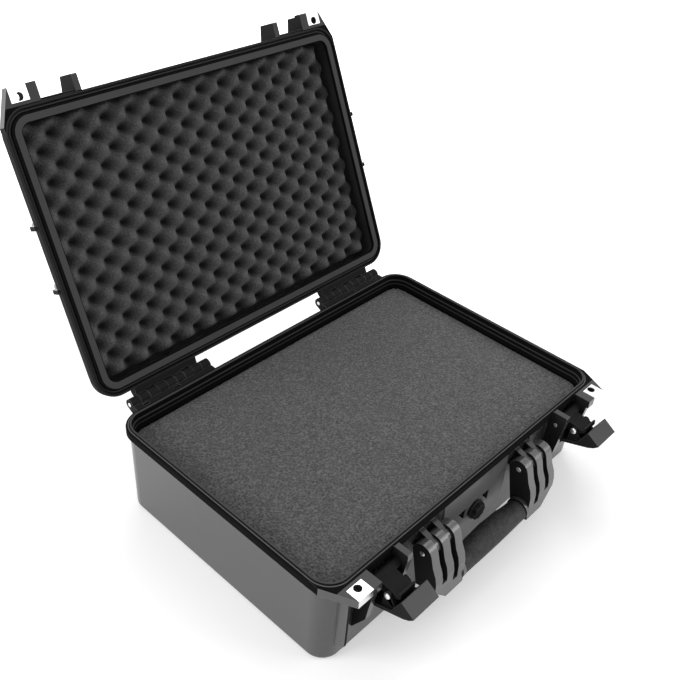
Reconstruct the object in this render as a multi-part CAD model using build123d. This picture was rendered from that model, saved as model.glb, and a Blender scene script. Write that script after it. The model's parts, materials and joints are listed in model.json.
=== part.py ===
from build123d import *
from math import cos, radians, sin, tan
import os

# Laptop hard case: a moulded tub and lid that meet at a sealed rim, joined by two
# pinned hinges at the back, held shut by two hook-and-lever latches at the front,
# with a swinging carry handle, padlock eyes, a pressure valve and foam inside.
# Frame: origin at the centre of the tub's underside, +X to the right seen from the
# front, the hinges at +Y, +Z up. Millimetres and degrees.
# Every moving piece is drawn in its closed place and then opened to its rest place.

# ---- Shells ---------------------------------------------------------------------
case_width = 470.0          # over the rim flanges, left to right
case_depth = 320.0          # over the rim flanges, front to back
parting_height = 117.0      # top of the tub's rim flange
lid_rise = 40.0             # parting height to the lid's crown
rim_corner_radius = 28.0
flange_thickness = 10.0
flange_overhang = 4.0       # rim flange beyond the wall below it
flange_edge_radius = 1.5
wall = 4.0
base_draft = 1.1
base_edge_radius = 6.0
lid_draft = 5.0
lid_cavity_draft = 3.75
lid_edge_radius = 18.0
parting_gap = 0.3           # between the closed flanges
root_depth = 8.0            # outer fittings start this far inside the flange outline
overcut = 1.0               # cutters pass the faces that they cut by this much

# ---- Rim seal -------------------------------------------------------------------
mouth_inset = 6.3           # flange outline to the tub's mouth
mouth_depth = 6.0           # parting height down to the ledge inside the mouth
tongue_width = 2.5
tongue_height = 1.6
groove_width = 3.9
groove_depth = 4.7
groove_play = 0.5           # tongue to the outer wall of the seal groove
seal_thickness = 2.8
seal_play = 0.2
groove_wall = 2.3           # material between the seal groove and the lid's inside
lip_width = 10.2            # flat inner lip of the lid
lip_drop = 1.3              # lip below the lid's flange
lip_thickness = 4.0
lip_edge_radius = 0.8

# ---- Foam -----------------------------------------------------------------------
foam_play = 0.4
base_pad_thickness = 10.0
base_foam_drop = 16.5       # parting height down to the top of the foam block
lid_foam_thickness = 24.5
lid_foam_inset = 0.8        # edge of the lip to the edge of the lid foam
lid_foam_edge_radius = 9.5
crate_height = 14.0         # egg-crate relief, from a pit to a peak
crate_pitch = (16.6, 16.35) # from a peak to the next pit, across and from front to back
crate_start = (4.9, 3.8)    # a peak's place

# ---- Hinges ---------------------------------------------------------------------
lid_open_angle = 114.3
hinge_side_inset = 29.0     # outer end of each hinge inside the flange outline
hinge_length = 112.0
hinge_knuckles = 9          # tub and lid take turns, the tub has both ends
knuckle_radius = 6.5
knuckle_gap = 0.6
hinge_reach = 13.5          # flange outline to the hinge axis
hinge_sink = 1.4            # hinge axis below the parting height
hinge_pin_radius = 2.5
hinge_gusset_depth = 21.0   # foot of a tub knuckle below the parting height
hinge_arm_play = 0.2        # knuckle arms stand back from the parting plane
hinge_arm_front = 6.0       # top of a lid knuckle's arm beyond the flange outline
lid_knuckle_slope = 50.0    # where that arm meets its barrel, up from straight back
hinge_web_play = 0.6        # tub web to the lid's barrels
hinge_web_gap = 1.5         # lid web to the tub's barrels
hinge_slot_length = 9.0     # slots through the tub's hinge web, beside the flange
hinge_slot_width = 3.0
hinge_slot_places = (54.0, 97.0)         # from the hinge's inner end
pin_play = 0.05             # radial, between a pin and its bores

# ---- Latches --------------------------------------------------------------------
latch_side_inset = 69.0     # middle of each latch inside the flange outline
latch_channel = 40.0
latch_rib_thickness = 7.0
latch_rib_reach = 18.0      # rib beyond the flange outline
latch_rib_edge_radius = 1.0
latch_rib_nose = 8.0        # upright front edge of a tub rib
latch_rib_heights = (35.0, 60.0, 83.0)   # bends of a tub rib's front edge
latch_rib_steps = (21.5, 6.5, 3.5)       # how far each bend lies behind the front
latch_side_play = 1.0
latch_pin_radius = 2.2
latch_pivot_reach = 6.0     # flange outline to the pivot in the ribs
latch_pivot_drop = 16.5     # parting height down to the pivot
hook_open_angle = 98.6
lever_lag_angle = 28.6      # lever turns back on the hook while the hook opens
hook_width = 22.0
hook_boss_radius = 5.4
hook_back_gap = 3.0         # flange outline to the hook's back
hook_nose_reach = 5.5       # nose behind the hook's back
hook_nose_thickness = 3.2
hook_nose_chamfer = 1.2
hook_neck_rise = 4.0        # where the neck leaves the link boss, above the link pin
hook_neck_turn = 37.0       # and as far round the boss, up from straight out
hook_seat_gap = 0.3         # nose above the lid flange it holds
link_rise = 18.5            # link pin above the pivot pin, closed
link_reach = 2.0            # link pin in front of the pivot pin, closed
link_boss_radius = 4.9
lever_thickness = 4.1
lever_stand_off = 11.2      # link pin to the lever's inner face
lever_tail = 29.0           # lever below the link pin
lever_grip_start = 6.0      # foot of the grip block above the link pin
lever_grip_peak = 22.0      # inner corner of the grip above the link pin
lever_grip_depth = 16.0     # inner corner of the grip behind the lever's inner face
lever_tip_rise = 33.9
lever_tip_shoulders = (6.7, 14.2)        # bends of the outer face below the tip
lever_tip_slopes = (0.5, 1.4)
lever_edge_radius = 0.8
lever_heel = (4.0, 2.2)     # chamfer at the lever's lower outer edge
ear_thickness = 3.5
ear_radius = 4.5
ear_half_root = 9.0         # half the length of an ear where it meets the lever
ear_gap = 0.5
keeper_reach = 2.5          # lid flange thickened forwards in the latch channel
keeper_height = 8.0

# ---- Handle ---------------------------------------------------------------------
handle_hang_angle = 77.0    # below straight out
handle_inner = 61.0         # inner side of each arm, from the middle
handle_prong = 11.0
handle_slot = 8.0
handle_pin_radius = 3.0
handle_pin_reach = 10.6     # flange outline to the handle pin
handle_pin_drop = 32.0      # parting height down to the handle pin
handle_reach = 52.0         # pin to the middle of the grip
handle_eye_radius = 12.0
handle_bulge = 15.5         # arms' outer face above the pin plane at its thickest
handle_bulge_places = (13.0, 24.0, 34.0, 47.0)   # along the arm, from the pin
handle_waist = 13.0         # arms' outer face above the pin plane beside the bulge
handle_end_taper = 2.0
handle_arm_back = 2.0       # arms' square end behind the pin
handle_arm_edge_radius = 1.5
handle_end_drop = 14.0      # outer end of the arms beyond the middle of the grip
handle_slot_ends = (50.0, 41.0)          # inner and outer slot, along the arm
handle_corner_cut = 22.0
handle_bar_radius = 8.0
handle_collar_width = 4.0
handle_collar_radius = 13.6
grip_radius = 15.3
grip_end_radius = 12.8
grip_gap = 0.3
handle_lug_radius = 9.0
handle_lug_foot = 26.0
handle_pin_recess = 0.3     # pin ends below the arms' sides

# ---- Front panel between the handle's arms ----------------------------------------
front_panel_side_gap = 4.0  # panel to the arms' inner sides
front_panel_sink = 2.0      # its face inside the flange outline
front_panel_crease = 47.0   # parting height down to the crease in its face
front_panel_foot = 8.0
front_panel_slope = 4.0     # height of the slope under its foot

# ---- Padlock eyes ---------------------------------------------------------------
eye_ear_front = 20.0        # ear beyond the flange outline
sleeve_width = 20.0
sleeve_side_inset = 17.5    # outer side of each sleeve inside the flange outline
sleeve_depth = 16.0
sleeve_sheet = 1.2
sleeve_play = 0.05
padlock_hole_radius = 4.25
padlock_hole_back = 11.0    # front of the ear to the middle of the hole
ear_side_inset = 1.0        # ear's outer side inside the flange outline
ear_chamfer_end = 16.0      # front of that side inside the flange outline
ear_side_end = 35.0         # its back end, likewise
ear_root = 12.0             # ears start this far inside the flange outline
gusset_thickness = 3.5
gusset_side_inset = 22.5    # middle of the gusset inside the flange outline
gusset_reach = 6.0          # beyond the flange outline, short of the padlock's way
gusset_foot = 22.0
gusset_front = 75.0         # length of the upright front edge
gusset_lap = 2.0            # gusset into the flange above it

# ---- Lid face -------------------------------------------------------------------
panel_sink = 1.5
front_panel_insets = (117.0, 135.0)      # from the sides, at its front and its back
front_panel_depths = (68.0, 82.0)        # from the front, to its bend and its end
rear_panel_insets = (120.0, 133.0)       # from the sides, at its back and its front
rear_panel_depths = (60.0, 79.0)         # from the back, to its bend and its end
column_inset = 44.0         # the side columns lie lower than the main field
column_drop = 1.5
band_places = (-42.0, 27.0)
band_width = 5.0
band_height = 1.5
band_root = 0.5             # bands into the columns below them
band_reach = 4.0            # bands beyond the flange outline
face_corner_radius = 3.0    # corners of the sunk panels
plate_width = 150.0
plate_depth = 66.0
plate_corner = 8.0
plate_thickness = 1.0
plate_recess = 1.2
plate_play = 0.3
plate_middle = 5.0
lid_rib_front_top = 24.0    # rib's front edge above the parting height
lid_rib_foot = 29.0         # back end of the rib inside the flange outline
lid_rib_rise = 0.5          # rib above the crown at that end
lid_rib_root = (6.0, 8.0)   # the rib's back edge inside the lid's face

# ---- Pressure valve -------------------------------------------------------------
valve_height = 60.0
valve_pad_radius = 14.0
valve_pad_sink = 1.5        # front of the pad inside the flange outline
valve_disc_radius = 12.0
valve_disc_thickness = 2.2
valve_stem_radius = 7.0
valve_knob_radius = 9.0
valve_knob_thickness = 4.2
valve_knob_lobes = 8
valve_lobe_radius = 1.4
valve_hub_radius = 3.0
valve_gap = 0.3
seal_ring_radius = 9.5
seal_ring_section = 1.3
seal_ring_play = 0.2
valve_hub_depth = 2.0       # hub's bore past the pad's face
mark_starts = (-29.5, 13.5)   # left end of each mark's top edge
mark_width = 13.5
mark_height = 15.5
mark_lean = 0.5             # foot of a mark's upright side, left of its top
mark_drop = 0.5             # top edge below the panel's crease
mark_depth = 3.0            # into the wall behind the panel

# ---- Worked-out places ----------------------------------------------------------
half_width = case_width / 2
half_depth = case_depth / 2
lid_low = parting_height + parting_gap
lid_flange_top = lid_low + flange_thickness
crown = parting_height + lid_rise
flange_low = parting_height - flange_thickness
hinge_y = half_depth + hinge_reach
hinge_z = parting_height - hinge_sink
hinge_end = half_width - hinge_side_inset
hinge_start = hinge_end - hinge_length
latch_offset = half_width - latch_side_inset
latch_inner = latch_offset - latch_channel / 2
latch_outer = latch_offset + latch_channel / 2
pivot_y = -half_depth - latch_pivot_reach
pivot_z = parting_height - latch_pivot_drop
link_y = pivot_y - link_reach
link_z = pivot_z + link_rise
handle_y = -half_depth - handle_pin_reach
handle_z = parting_height - handle_pin_drop
handle_outer = handle_inner + 3 * handle_prong + 2 * handle_slot
ear_front_y = -half_depth - eye_ear_front
ear_side_x = half_width - ear_side_inset
sleeve_outer = half_width - sleeve_side_inset
sleeve_inner = sleeve_outer - sleeve_width
gusset_x = half_width - gusset_side_inset
column_start = half_width - column_inset
valve_pad_y = -half_depth + valve_pad_sink
ear_root_y = -half_depth + ear_root
groove_inset = mouth_inset - tongue_width - groove_play
lip_start = groove_inset + groove_width
cavity_inset = lip_start + groove_wall
lip_end = lip_start + lip_width
sides = {"left": -1, "right": 1}


def plan(inset):
    """Outline of the case seen from above, moved inwards."""
    return RectangleRounded(
        case_width - 2 * inset, case_depth - 2 * inset, rim_corner_radius - inset
    )


def slab(inset, low, high):
    """Straight-sided slab of the case's outline."""
    return extrude(Pos(0, 0, low) * plan(inset), high - low)


def ring(outer_inset, inner_inset, low, high):
    """Straight-sided frame between two insets of the outline."""
    return slab(outer_inset, low, high) - slab(inner_inset, low, high)


def drafted(inset, start, end, draft, edge_radius):
    """Tapered block of the outline from one height to another, its end edge rounded."""
    way = (0, 0, 1 if end > start else -1)
    block = extrude(Pos(0, 0, start) * plan(inset), abs(end - start), dir=way, taper=draft)
    end_face = block.faces().sort_by(Axis.Z)[-1 if end > start else 0]
    return fillet(end_face.edges(), edge_radius)


def side_plate(points, x_low, x_high, corner=0.0):
    """Plate across the case, cut to an outline of (y, z) points with rounded corners."""
    outline = make_face(Polyline(*points, close=True))
    if corner:
        outline = fillet(outline.vertices(), corner)
    return extrude(Plane.YZ.offset(x_low) * outline, x_high - x_low)


def rod(y, z, radius, x_low, x_high):
    """Round bar along X."""
    return extrude(Plane.YZ.offset(x_low) * Pos(y, z) * Circle(radius), x_high - x_low)


def front_disc(radius, y_front, y_back, x=0.0, z=valve_height):
    """Round disc whose axis is along Y."""
    start = Plane.XZ.offset(-y_back)
    return extrude(start * Pos(x, z) * Circle(radius), y_back - y_front)


def top_plate(points, low, high, corner=0.0):
    """Level plate cut to an outline of (x, y) points with rounded corners."""
    outline = make_face(Polyline(*points, close=True))
    if corner:
        outline = fillet(outline.vertices(), corner)
    return extrude(Pos(0, 0, low) * outline, high - low)


def turned(part, y, z, angle):
    """The part turned about an axis along X through (y, z)."""
    return Pos(0, y, z) * Rot(angle, 0, 0) * Pos(0, -y, -z) * part


def on_side(part, side):
    """The part as drawn for the right side, or mirrored to the left."""
    return part if side > 0 else mirror(part, about=Plane.YZ)


def both_sides(part):
    """The part with its mirror image on the left."""
    return part + mirror(part, about=Plane.YZ)


# ---- Shared fittings, drawn for the right side ------------------------------------
def knuckle_spans(for_lid):
    """X ranges of the hinge knuckles that belong to the lid or to the tub."""
    pitch = hinge_length / hinge_knuckles
    first = 1 if for_lid else 0
    return [
        (hinge_start + n * pitch + knuckle_gap / 2, hinge_start + (n + 1) * pitch - knuckle_gap / 2)
        for n in range(first, hinge_knuckles, 2)
    ]


def hinge_leaves(points, for_lid, web_clearance):
    """Knuckles of one shell on a web that clears the other shell's barrels, bored."""
    spans = knuckle_spans(for_lid)
    leaves = side_plate(points, spans[0][0], spans[-1][1])
    for x_low, x_high in knuckle_spans(not for_lid):
        leaves -= rod(
            hinge_y, hinge_z, knuckle_radius + web_clearance, x_low - knuckle_gap, x_high + knuckle_gap
        )
    for x_low, x_high in spans:
        leaves += rod(hinge_y, hinge_z, knuckle_radius, x_low, x_high)
    return leaves - rod(
        hinge_y, hinge_z, hinge_pin_radius + pin_play, hinge_start - overcut, hinge_end + overcut
    )


def hinge_slots():
    """Cutters for the slots through the tub's hinge web."""
    slots = Part()
    for place in hinge_slot_places:
        slots += Pos(hinge_start + place, half_depth + overcut, parting_height - hinge_gusset_depth) * Box(
            hinge_slot_length,
            hinge_slot_width,
            hinge_gusset_depth,
            align=(Align.CENTER, Align.MIN, Align.MIN),
        )
    return slots


def latch_ribs(points):
    """The two ribs beside a latch, cut to a side outline."""
    inner_rib = side_plate(points, latch_inner - latch_rib_thickness, latch_inner, latch_rib_edge_radius)
    outer_rib = side_plate(points, latch_outer, latch_outer + latch_rib_thickness, latch_rib_edge_radius)
    return inner_rib + outer_rib


def padlock_ear(low, high):
    """Ear at a front corner, recessed for its steel sleeve and drilled for a padlock."""
    points = [
        (latch_outer, ear_root_y),
        (latch_outer, ear_front_y),
        (sleeve_outer, ear_front_y),
        (ear_side_x, -half_depth + ear_chamfer_end),
        (ear_side_x, -half_depth + ear_side_end),
    ]
    ear = top_plate(points, low, high)
    pocket = sleeve_block(low, high, -sleeve_play, sleeve_play)
    core = sleeve_block(low, high, sleeve_sheet + sleeve_play, sleeve_play)
    hole_y = ear_front_y + padlock_hole_back
    hole = Pos(sleeve_inner + sleeve_width / 2, hole_y, low) * Cylinder(
        padlock_hole_radius, high - low, align=(Align.CENTER, Align.CENTER, Align.MIN)
    )
    return ear - (pocket - core) - hole


def sleeve_block(low, high, shrink, spare=0.0):
    """Block round the front of an ear, shrunk in front, above and below, wider by the spare."""
    return Pos(sleeve_inner - spare, ear_front_y + shrink, low + shrink) * Box(
        sleeve_width + 2 * spare,
        sleeve_depth - shrink + spare,
        high - low - 2 * shrink,
        align=(Align.MIN, Align.MIN, Align.MIN),
    )


def lock_sleeve(low, high):
    """Bent steel sleeve that wraps the front of a padlock ear."""
    inner = Pos(sleeve_inner - overcut, ear_front_y + sleeve_sheet, low + sleeve_sheet) * Box(
        sleeve_width + 2 * overcut,
        sleeve_depth,
        high - low - 2 * sleeve_sheet,
        align=(Align.MIN, Align.MIN, Align.MIN),
    )
    hole = Pos(sleeve_inner + sleeve_width / 2, ear_front_y + padlock_hole_back, low) * Cylinder(
        padlock_hole_radius, high - low, align=(Align.CENTER, Align.CENTER, Align.MIN)
    )
    return sleeve_block(low, high, 0.0) - inner - hole


# ---- Tub --------------------------------------------------------------------------
def make_base_shell():
    """Tub with its rim flange, tongue, hinge knuckles, latch ribs, lugs and ears."""
    body = drafted(flange_overhang, flange_low, 0, base_draft, base_edge_radius)
    flange = slab(0, flange_low, parting_height)
    flange = fillet(
        flange.edges().group_by(Axis.Z)[0] + flange.edges().group_by(Axis.Z)[-1], flange_edge_radius
    )
    tongue = ring(
        mouth_inset - tongue_width, mouth_inset, parting_height - overcut, parting_height + tongue_height
    )
    shell = body + flange + tongue
    shell += front_panel()
    shell += front_disc(valve_pad_radius, valve_pad_y, -half_depth + root_depth)
    shell += both_sides(base_fittings())
    ledge = parting_height - mouth_depth
    cavity = drafted(flange_overhang + wall, ledge, wall, base_draft, base_edge_radius - wall)
    mouth = slab(mouth_inset, ledge, parting_height + tongue_height + overcut)
    shell -= cavity + mouth
    shell -= front_disc(
        valve_stem_radius + pin_play, valve_pad_y - overcut, -half_depth + 2 * (flange_overhang + wall)
    )
    for start in mark_starts:
        shell -= valve_mark(start)
    return shell


def base_fittings():
    """What stands on the right half of the tub's outside."""
    low = parting_height - hinge_gusset_depth
    knuckle_arm = [
        (half_depth - root_depth, low),
        (half_depth - root_depth, parting_height - hinge_arm_play),
        (hinge_y, parting_height - hinge_arm_play),
        (hinge_y + knuckle_radius * sin(radians(45)), hinge_z - knuckle_radius * cos(radians(45))),
    ]
    rib_front = -half_depth - latch_rib_reach
    rib_side = [
        (-half_depth + root_depth, latch_rib_heights[0]),
        (-half_depth + root_depth, parting_height),
        (rib_front, parting_height),
        (rib_front, parting_height - latch_rib_nose),
        (rib_front + latch_rib_steps[2], latch_rib_heights[2]),
        (rib_front + latch_rib_steps[1], latch_rib_heights[1]),
        (rib_front + latch_rib_steps[0], latch_rib_heights[0]),
    ]
    gusset_side = [
        (ear_root_y, gusset_foot),
        (ear_root_y, flange_low + gusset_lap),
        (-half_depth - gusset_reach, flange_low + gusset_lap),
        (-half_depth - gusset_reach, flange_low - gusset_front),
        (-half_depth + flange_overhang, gusset_foot),
    ]
    ribs = latch_ribs(rib_side)
    pivot_bore = rod(
        pivot_y,
        pivot_z,
        latch_pin_radius + pin_play,
        latch_inner - latch_rib_thickness - overcut,
        latch_outer + latch_rib_thickness + overcut,
    )
    gusset = side_plate(
        gusset_side, gusset_x - gusset_thickness / 2, gusset_x + gusset_thickness / 2
    )
    return (
        (hinge_leaves(knuckle_arm, False, hinge_web_play) - hinge_slots())
        + (ribs - pivot_bore)
        + padlock_ear(flange_low, parting_height)
        + (gusset - sleeve_block(flange_low, parting_height, -sleeve_play, sleeve_play))
        + handle_lugs()
    )


def handle_lugs():
    """The two lugs that stand in the slots of one handle arm."""
    foot = [
        (-half_depth + root_depth, handle_z - handle_lug_foot / 2),
        (-half_depth + root_depth, handle_z + handle_lug_foot / 2),
        (-half_depth + flange_overhang, handle_z + handle_lug_foot / 2),
        (handle_y, handle_z + handle_lug_radius),
        (handle_y, handle_z - handle_lug_radius),
        (-half_depth + flange_overhang, handle_z - handle_lug_foot / 2),
    ]
    lugs = Part()
    for start in slot_starts():
        low, high = start + latch_side_play / 2, start + handle_slot - latch_side_play / 2
        lugs += side_plate(foot, low, high) + rod(handle_y, handle_z, handle_lug_radius, low, high)
    return lugs - rod(handle_y, handle_z, handle_pin_radius + pin_play, handle_inner, handle_outer)


def slot_starts():
    """Inner sides of the two slots in the right handle arm."""
    first = handle_inner + handle_prong
    return [first, first + handle_slot + handle_prong]


def front_panel():
    """Thicker middle of the front wall, leaning out to a crease above the valve."""
    face = -half_depth + front_panel_sink
    back = -half_depth + root_depth
    half = handle_inner - front_panel_side_gap
    crease = parting_height - front_panel_crease
    side = [
        (back, front_panel_foot),
        (-half_depth + flange_overhang + wall / 2, front_panel_foot),
        (face, front_panel_foot + front_panel_slope),
        (face, crease),
        (-half_depth + flange_overhang, flange_low),
        (back, flange_low),
    ]
    return side_plate(side, -half, half)


def valve_mark(start):
    """Triangular pocket beside the pressure valve, its top edge along the crease."""
    top = parting_height - front_panel_crease - mark_drop
    outline = Plane.XZ.offset(half_depth) * make_face(
        Polyline(
            (start, top),
            (start + mark_width, top),
            (start + mark_width - mark_lean, top - mark_height),
            close=True,
        )
    )
    return extrude(outline, -(flange_overhang + mark_depth - front_panel_sink))


# ---- Lid, drawn closed ------------------------------------------------------------
def lid_block(grow, drop):
    """Outer form of the lid above its flange, grown outwards and with a lower crown."""
    return drafted(flange_overhang - grow, lid_flange_top - overcut, crown - drop, lid_draft, lid_edge_radius)


def face_zone(points):
    """Upright prism over an outline on the lid's face."""
    return top_plate(points, lid_flange_top + overcut, crown + overcut, face_corner_radius)


def make_lid_shell():
    """Lid with its flange, seal groove, inner lip, hinge knuckles, ribs and face panels."""
    flange = slab(0, lid_low, lid_flange_top)
    flange = fillet(
        flange.edges().group_by(Axis.Z)[0] + flange.edges().group_by(Axis.Z)[-1], flange_edge_radius
    )
    full = lid_block(0, 0)
    sunk = lid_block(-panel_sink, panel_sink)
    skin = full - sunk
    front_wide, front_narrow = (half_width - inset for inset in front_panel_insets)
    rear_wide, rear_narrow = (half_width - inset for inset in rear_panel_insets)
    front_panel = face_zone(
        [
            (-front_wide, -half_depth),
            (front_wide, -half_depth),
            (front_wide, -half_depth + front_panel_depths[0]),
            (front_narrow, -half_depth + front_panel_depths[1]),
            (-front_narrow, -half_depth + front_panel_depths[1]),
            (-front_wide, -half_depth + front_panel_depths[0]),
        ]
    )
    rear_panel = face_zone(
        [
            (-rear_wide, half_depth),
            (-rear_wide, half_depth - rear_panel_depths[0]),
            (-rear_narrow, half_depth - rear_panel_depths[1]),
            (rear_narrow, half_depth - rear_panel_depths[1]),
            (rear_wide, half_depth - rear_panel_depths[0]),
            (rear_wide, half_depth),
        ]
    )
    side_zone = Pos(column_start, 0, lid_flange_top) * Box(
        half_width, case_depth, lid_rise, align=(Align.MIN, Align.CENTER, Align.MIN)
    )
    column_cut = (full - lid_block(-column_drop, column_drop)) & side_zone
    block = full - (skin & front_panel) - (skin & rear_panel) - both_sides(column_cut)
    lip = ring(lip_start, lip_end, lid_low - lip_drop, lid_low - lip_drop + lip_thickness)
    lip = fillet(lip.edges().group_by(Axis.Z)[0], lip_edge_radius)
    shell = block + flange
    shell += both_sides(lid_fittings(side_zone))
    shell -= drafted(
        cavity_inset, lid_low - overcut, crown - wall, lid_cavity_draft, lid_edge_radius - wall
    )
    shell -= ring(groove_inset, lip_start, lid_low - overcut, lid_low + groove_depth)
    shell += lip
    shell += ring(lip_start, cavity_inset, lid_low - lip_drop + lip_edge_radius, lid_low + groove_depth)
    recess = Pos(0, plate_middle, crown - plate_recess) * extrude(
        RectangleRounded(plate_width, plate_depth, plate_corner), plate_recess + overcut
    )
    return shell - recess


def lid_fittings(side_zone):
    """What stands on the right half of the lid's outside."""
    shoulder = knuckle_radius * sin(radians(lid_knuckle_slope))
    knuckle_arm = [
        (half_depth - root_depth, lid_low + hinge_arm_play),
        (half_depth - root_depth, lid_flange_top),
        (half_depth + hinge_arm_front, lid_flange_top),
        (hinge_y + knuckle_radius * cos(radians(lid_knuckle_slope)), hinge_z + shoulder),
        (hinge_y, lid_low + hinge_arm_play),
    ]
    rib_side = [
        (-half_depth + root_depth, lid_low),
        (-half_depth - latch_rib_reach, lid_low),
        (-half_depth - latch_rib_reach, parting_height + lid_rib_front_top),
        (-half_depth + lid_rib_foot, crown + lid_rib_rise),
        (-half_depth + lid_rib_foot + lid_rib_root[0], crown - lid_rib_root[1]),
        (-half_depth + lid_edge_radius, lid_flange_top),
    ]
    keeper = Pos(latch_inner - overcut, -half_depth - keeper_reach, lid_flange_top - keeper_height) * Box(
        latch_channel + 2 * overcut,
        keeper_reach + flange_overhang,
        keeper_height,
        align=(Align.MIN, Align.MIN, Align.MIN),
    )
    raised = lid_block(band_height - column_drop, column_drop - band_height) - lid_block(
        -column_drop - band_root, column_drop + band_root
    )
    bands = Part()
    for place in band_places:
        strip = Pos(column_start, place, lid_flange_top) * Box(
            half_width, band_width, lid_rise, align=(Align.MIN, Align.CENTER, Align.MIN)
        )
        bands += raised & strip
        tab_inner = half_width - 2 * flange_overhang
        bands += Pos(tab_inner, place, lid_low + flange_edge_radius) * Box(
            2 * flange_overhang + band_reach,
            band_width,
            flange_thickness,
            align=(Align.MIN, Align.CENTER, Align.MIN),
        )
    return (
        hinge_leaves(knuckle_arm, True, hinge_web_gap)
        + latch_ribs(rib_side)
        + padlock_ear(lid_low, lid_flange_top)
        + keeper
        + bands
    )


# ---- Seal, foam and plate ---------------------------------------------------------
def make_lid_seal():
    """Rubber seal at the roof of the lid's groove."""
    roof = lid_low + groove_depth
    return ring(groove_inset + seal_play, lip_start - seal_play, roof - seal_thickness, roof)


def foam_inset():
    """Straight-sided foam that just clears the tub's walls where they meet the floor."""
    draft_at_floor = (parting_height - mouth_depth - wall) * tan(radians(base_draft))
    return flange_overhang + wall + draft_at_floor + foam_play


def make_base_foam_pad():
    """Thin pad on the tub's floor, its lower edge clear of the floor's rounding."""
    pad = slab(foam_inset(), wall + foam_play, wall + base_pad_thickness)
    return fillet(pad.edges().group_by(Axis.Z)[0], base_edge_radius - wall - foam_play)


def make_base_foam_block():
    """Main block of tub foam on its pad."""
    return slab(foam_inset(), wall + base_pad_thickness + foam_play, parting_height - base_foam_drop)


def crate_block(low, high):
    """Block whose underside is an egg-crate of flat-sided peaks and pits."""
    spans = [round(size / (2 * pitch)) + 2 for size, pitch in zip((case_width, case_depth), crate_pitch)]

    def at(column, row, level):
        return (crate_start[0] + column * crate_pitch[0], crate_start[1] + row * crate_pitch[1], level)

    def lattice(column, row):
        return at(column, row, low + (crate_height if (column + row) % 2 else 0.0))

    def saddle(column, row):
        return at(column + 0.5, row + 0.5, low + crate_height / 2)

    loops = []
    for column in range(-spans[0], spans[0]):
        for row in range(-spans[1], spans[1]):
            here = lattice(column, row)
            loops.append((here, saddle(column, row), lattice(column + 1, row), saddle(column, row - 1)))
            loops.append((here, saddle(column - 1, row), lattice(column, row + 1), saddle(column, row)))
    edges = {pair for loop in loops for pair in zip(loop, loop[1:] + loop[:1])}
    rim = {start: end for start, end in edges if (end, start) not in edges}
    start = next(iter(rim))
    walk = [start]
    while rim[walk[-1]] != start:
        walk.append(rim[walk[-1]])
    tops = [(x, y, high) for x, y, _ in walk]
    for index, (near, far) in enumerate(zip(walk, walk[1:] + walk[:1])):
        loops.append((near, far, tops[(index + 1) % len(tops)], tops[index]))
    loops.append(tuple(tops))
    return Solid(Shell([Face(Wire.make_polygon(loop)) for loop in loops]))


def make_lid_foam():
    """Lid foam with its egg-crate face, its back edge rounded like the lid."""
    back = crown - wall - foam_play
    front = back - lid_foam_thickness
    block = slab(lip_end + lid_foam_inset, front, back)
    block = fillet(block.edges().group_by(Axis.Z)[-1], lid_foam_edge_radius)
    return block & crate_block(front, back + overcut)


def make_name_plate():
    """Blank plate in the recess of the lid's face."""
    low = crown - plate_recess
    outline = RectangleRounded(
        plate_width - 2 * plate_play, plate_depth - 2 * plate_play, plate_corner - plate_play
    )
    return Pos(0, plate_middle, low) * extrude(outline, plate_thickness)


# ---- Latch, drawn closed for the right side ---------------------------------------
def make_latch_hook():
    """Inner hook: a barrel in the ribs, a boss for the link pin and a nose over the lid."""
    back = -half_depth - hook_back_gap
    seat = lid_flange_top + hook_seat_gap
    inner, outer = latch_offset - hook_width / 2, latch_offset + hook_width / 2
    barrel_half = latch_channel / 2 - latch_side_play / 2
    arm = [
        (pivot_y - hook_boss_radius, pivot_z),
        (link_y - link_boss_radius, link_z),
        (link_y - link_boss_radius * cos(radians(hook_neck_turn)), link_z + hook_neck_rise),
        (back - hook_nose_thickness, seat + hook_seat_gap),
        (back, seat + hook_nose_thickness),
        (back + hook_nose_reach, seat + hook_nose_thickness - hook_nose_chamfer),
        (back + hook_nose_reach, seat),
        (back, seat),
        (back, pivot_z),
    ]
    hook = side_plate(arm, inner, outer)
    hook += rod(link_y, link_z, link_boss_radius, inner, outer)
    hook += rod(pivot_y, pivot_z, hook_boss_radius, latch_offset - barrel_half, latch_offset + barrel_half)
    hook -= rod(pivot_y, pivot_z, latch_pin_radius + pin_play, latch_inner, latch_outer)
    return hook - rod(link_y, link_z, latch_pin_radius + pin_play, inner - overcut, outer + overcut)


def make_latch_lever():
    """Outer lever: a plate with a hooked grip, hung on the link pin by two ears."""
    inner_face = link_y - lever_stand_off
    outer_face = inner_face - lever_thickness
    half = latch_channel / 2 - latch_side_play
    plate = [
        (inner_face, link_z - lever_tail),
        (inner_face, link_z + lever_grip_start),
        (inner_face + lever_grip_depth, link_z + lever_grip_peak),
        (inner_face + lever_tip_slopes[0], link_z + lever_tip_rise),
        (outer_face + lever_tip_slopes[1], link_z + lever_tip_rise - lever_tip_shoulders[0]),
        (outer_face, link_z + lever_tip_rise - lever_tip_shoulders[1]),
        (outer_face, link_z - lever_tail + lever_heel[0]),
        (outer_face + lever_heel[1], link_z - lever_tail),
    ]
    lever = side_plate(plate, latch_offset - half, latch_offset + half, lever_edge_radius)
    ear_side = [
        (inner_face - overcut, link_z - ear_half_root),
        (link_y, link_z - ear_radius),
        (link_y, link_z + ear_radius),
        (inner_face - overcut, link_z + ear_half_root),
    ]
    for side in sides.values():
        near = latch_offset + side * (hook_width / 2 + ear_gap)
        far = near + side * ear_thickness
        low, high = min(near, far), max(near, far)
        lever += side_plate(ear_side, low, high) + rod(link_y, link_z, ear_radius, low, high)
    return lever - rod(
        link_y, link_z, latch_pin_radius + pin_play, latch_offset - half, latch_offset + half
    )


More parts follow.
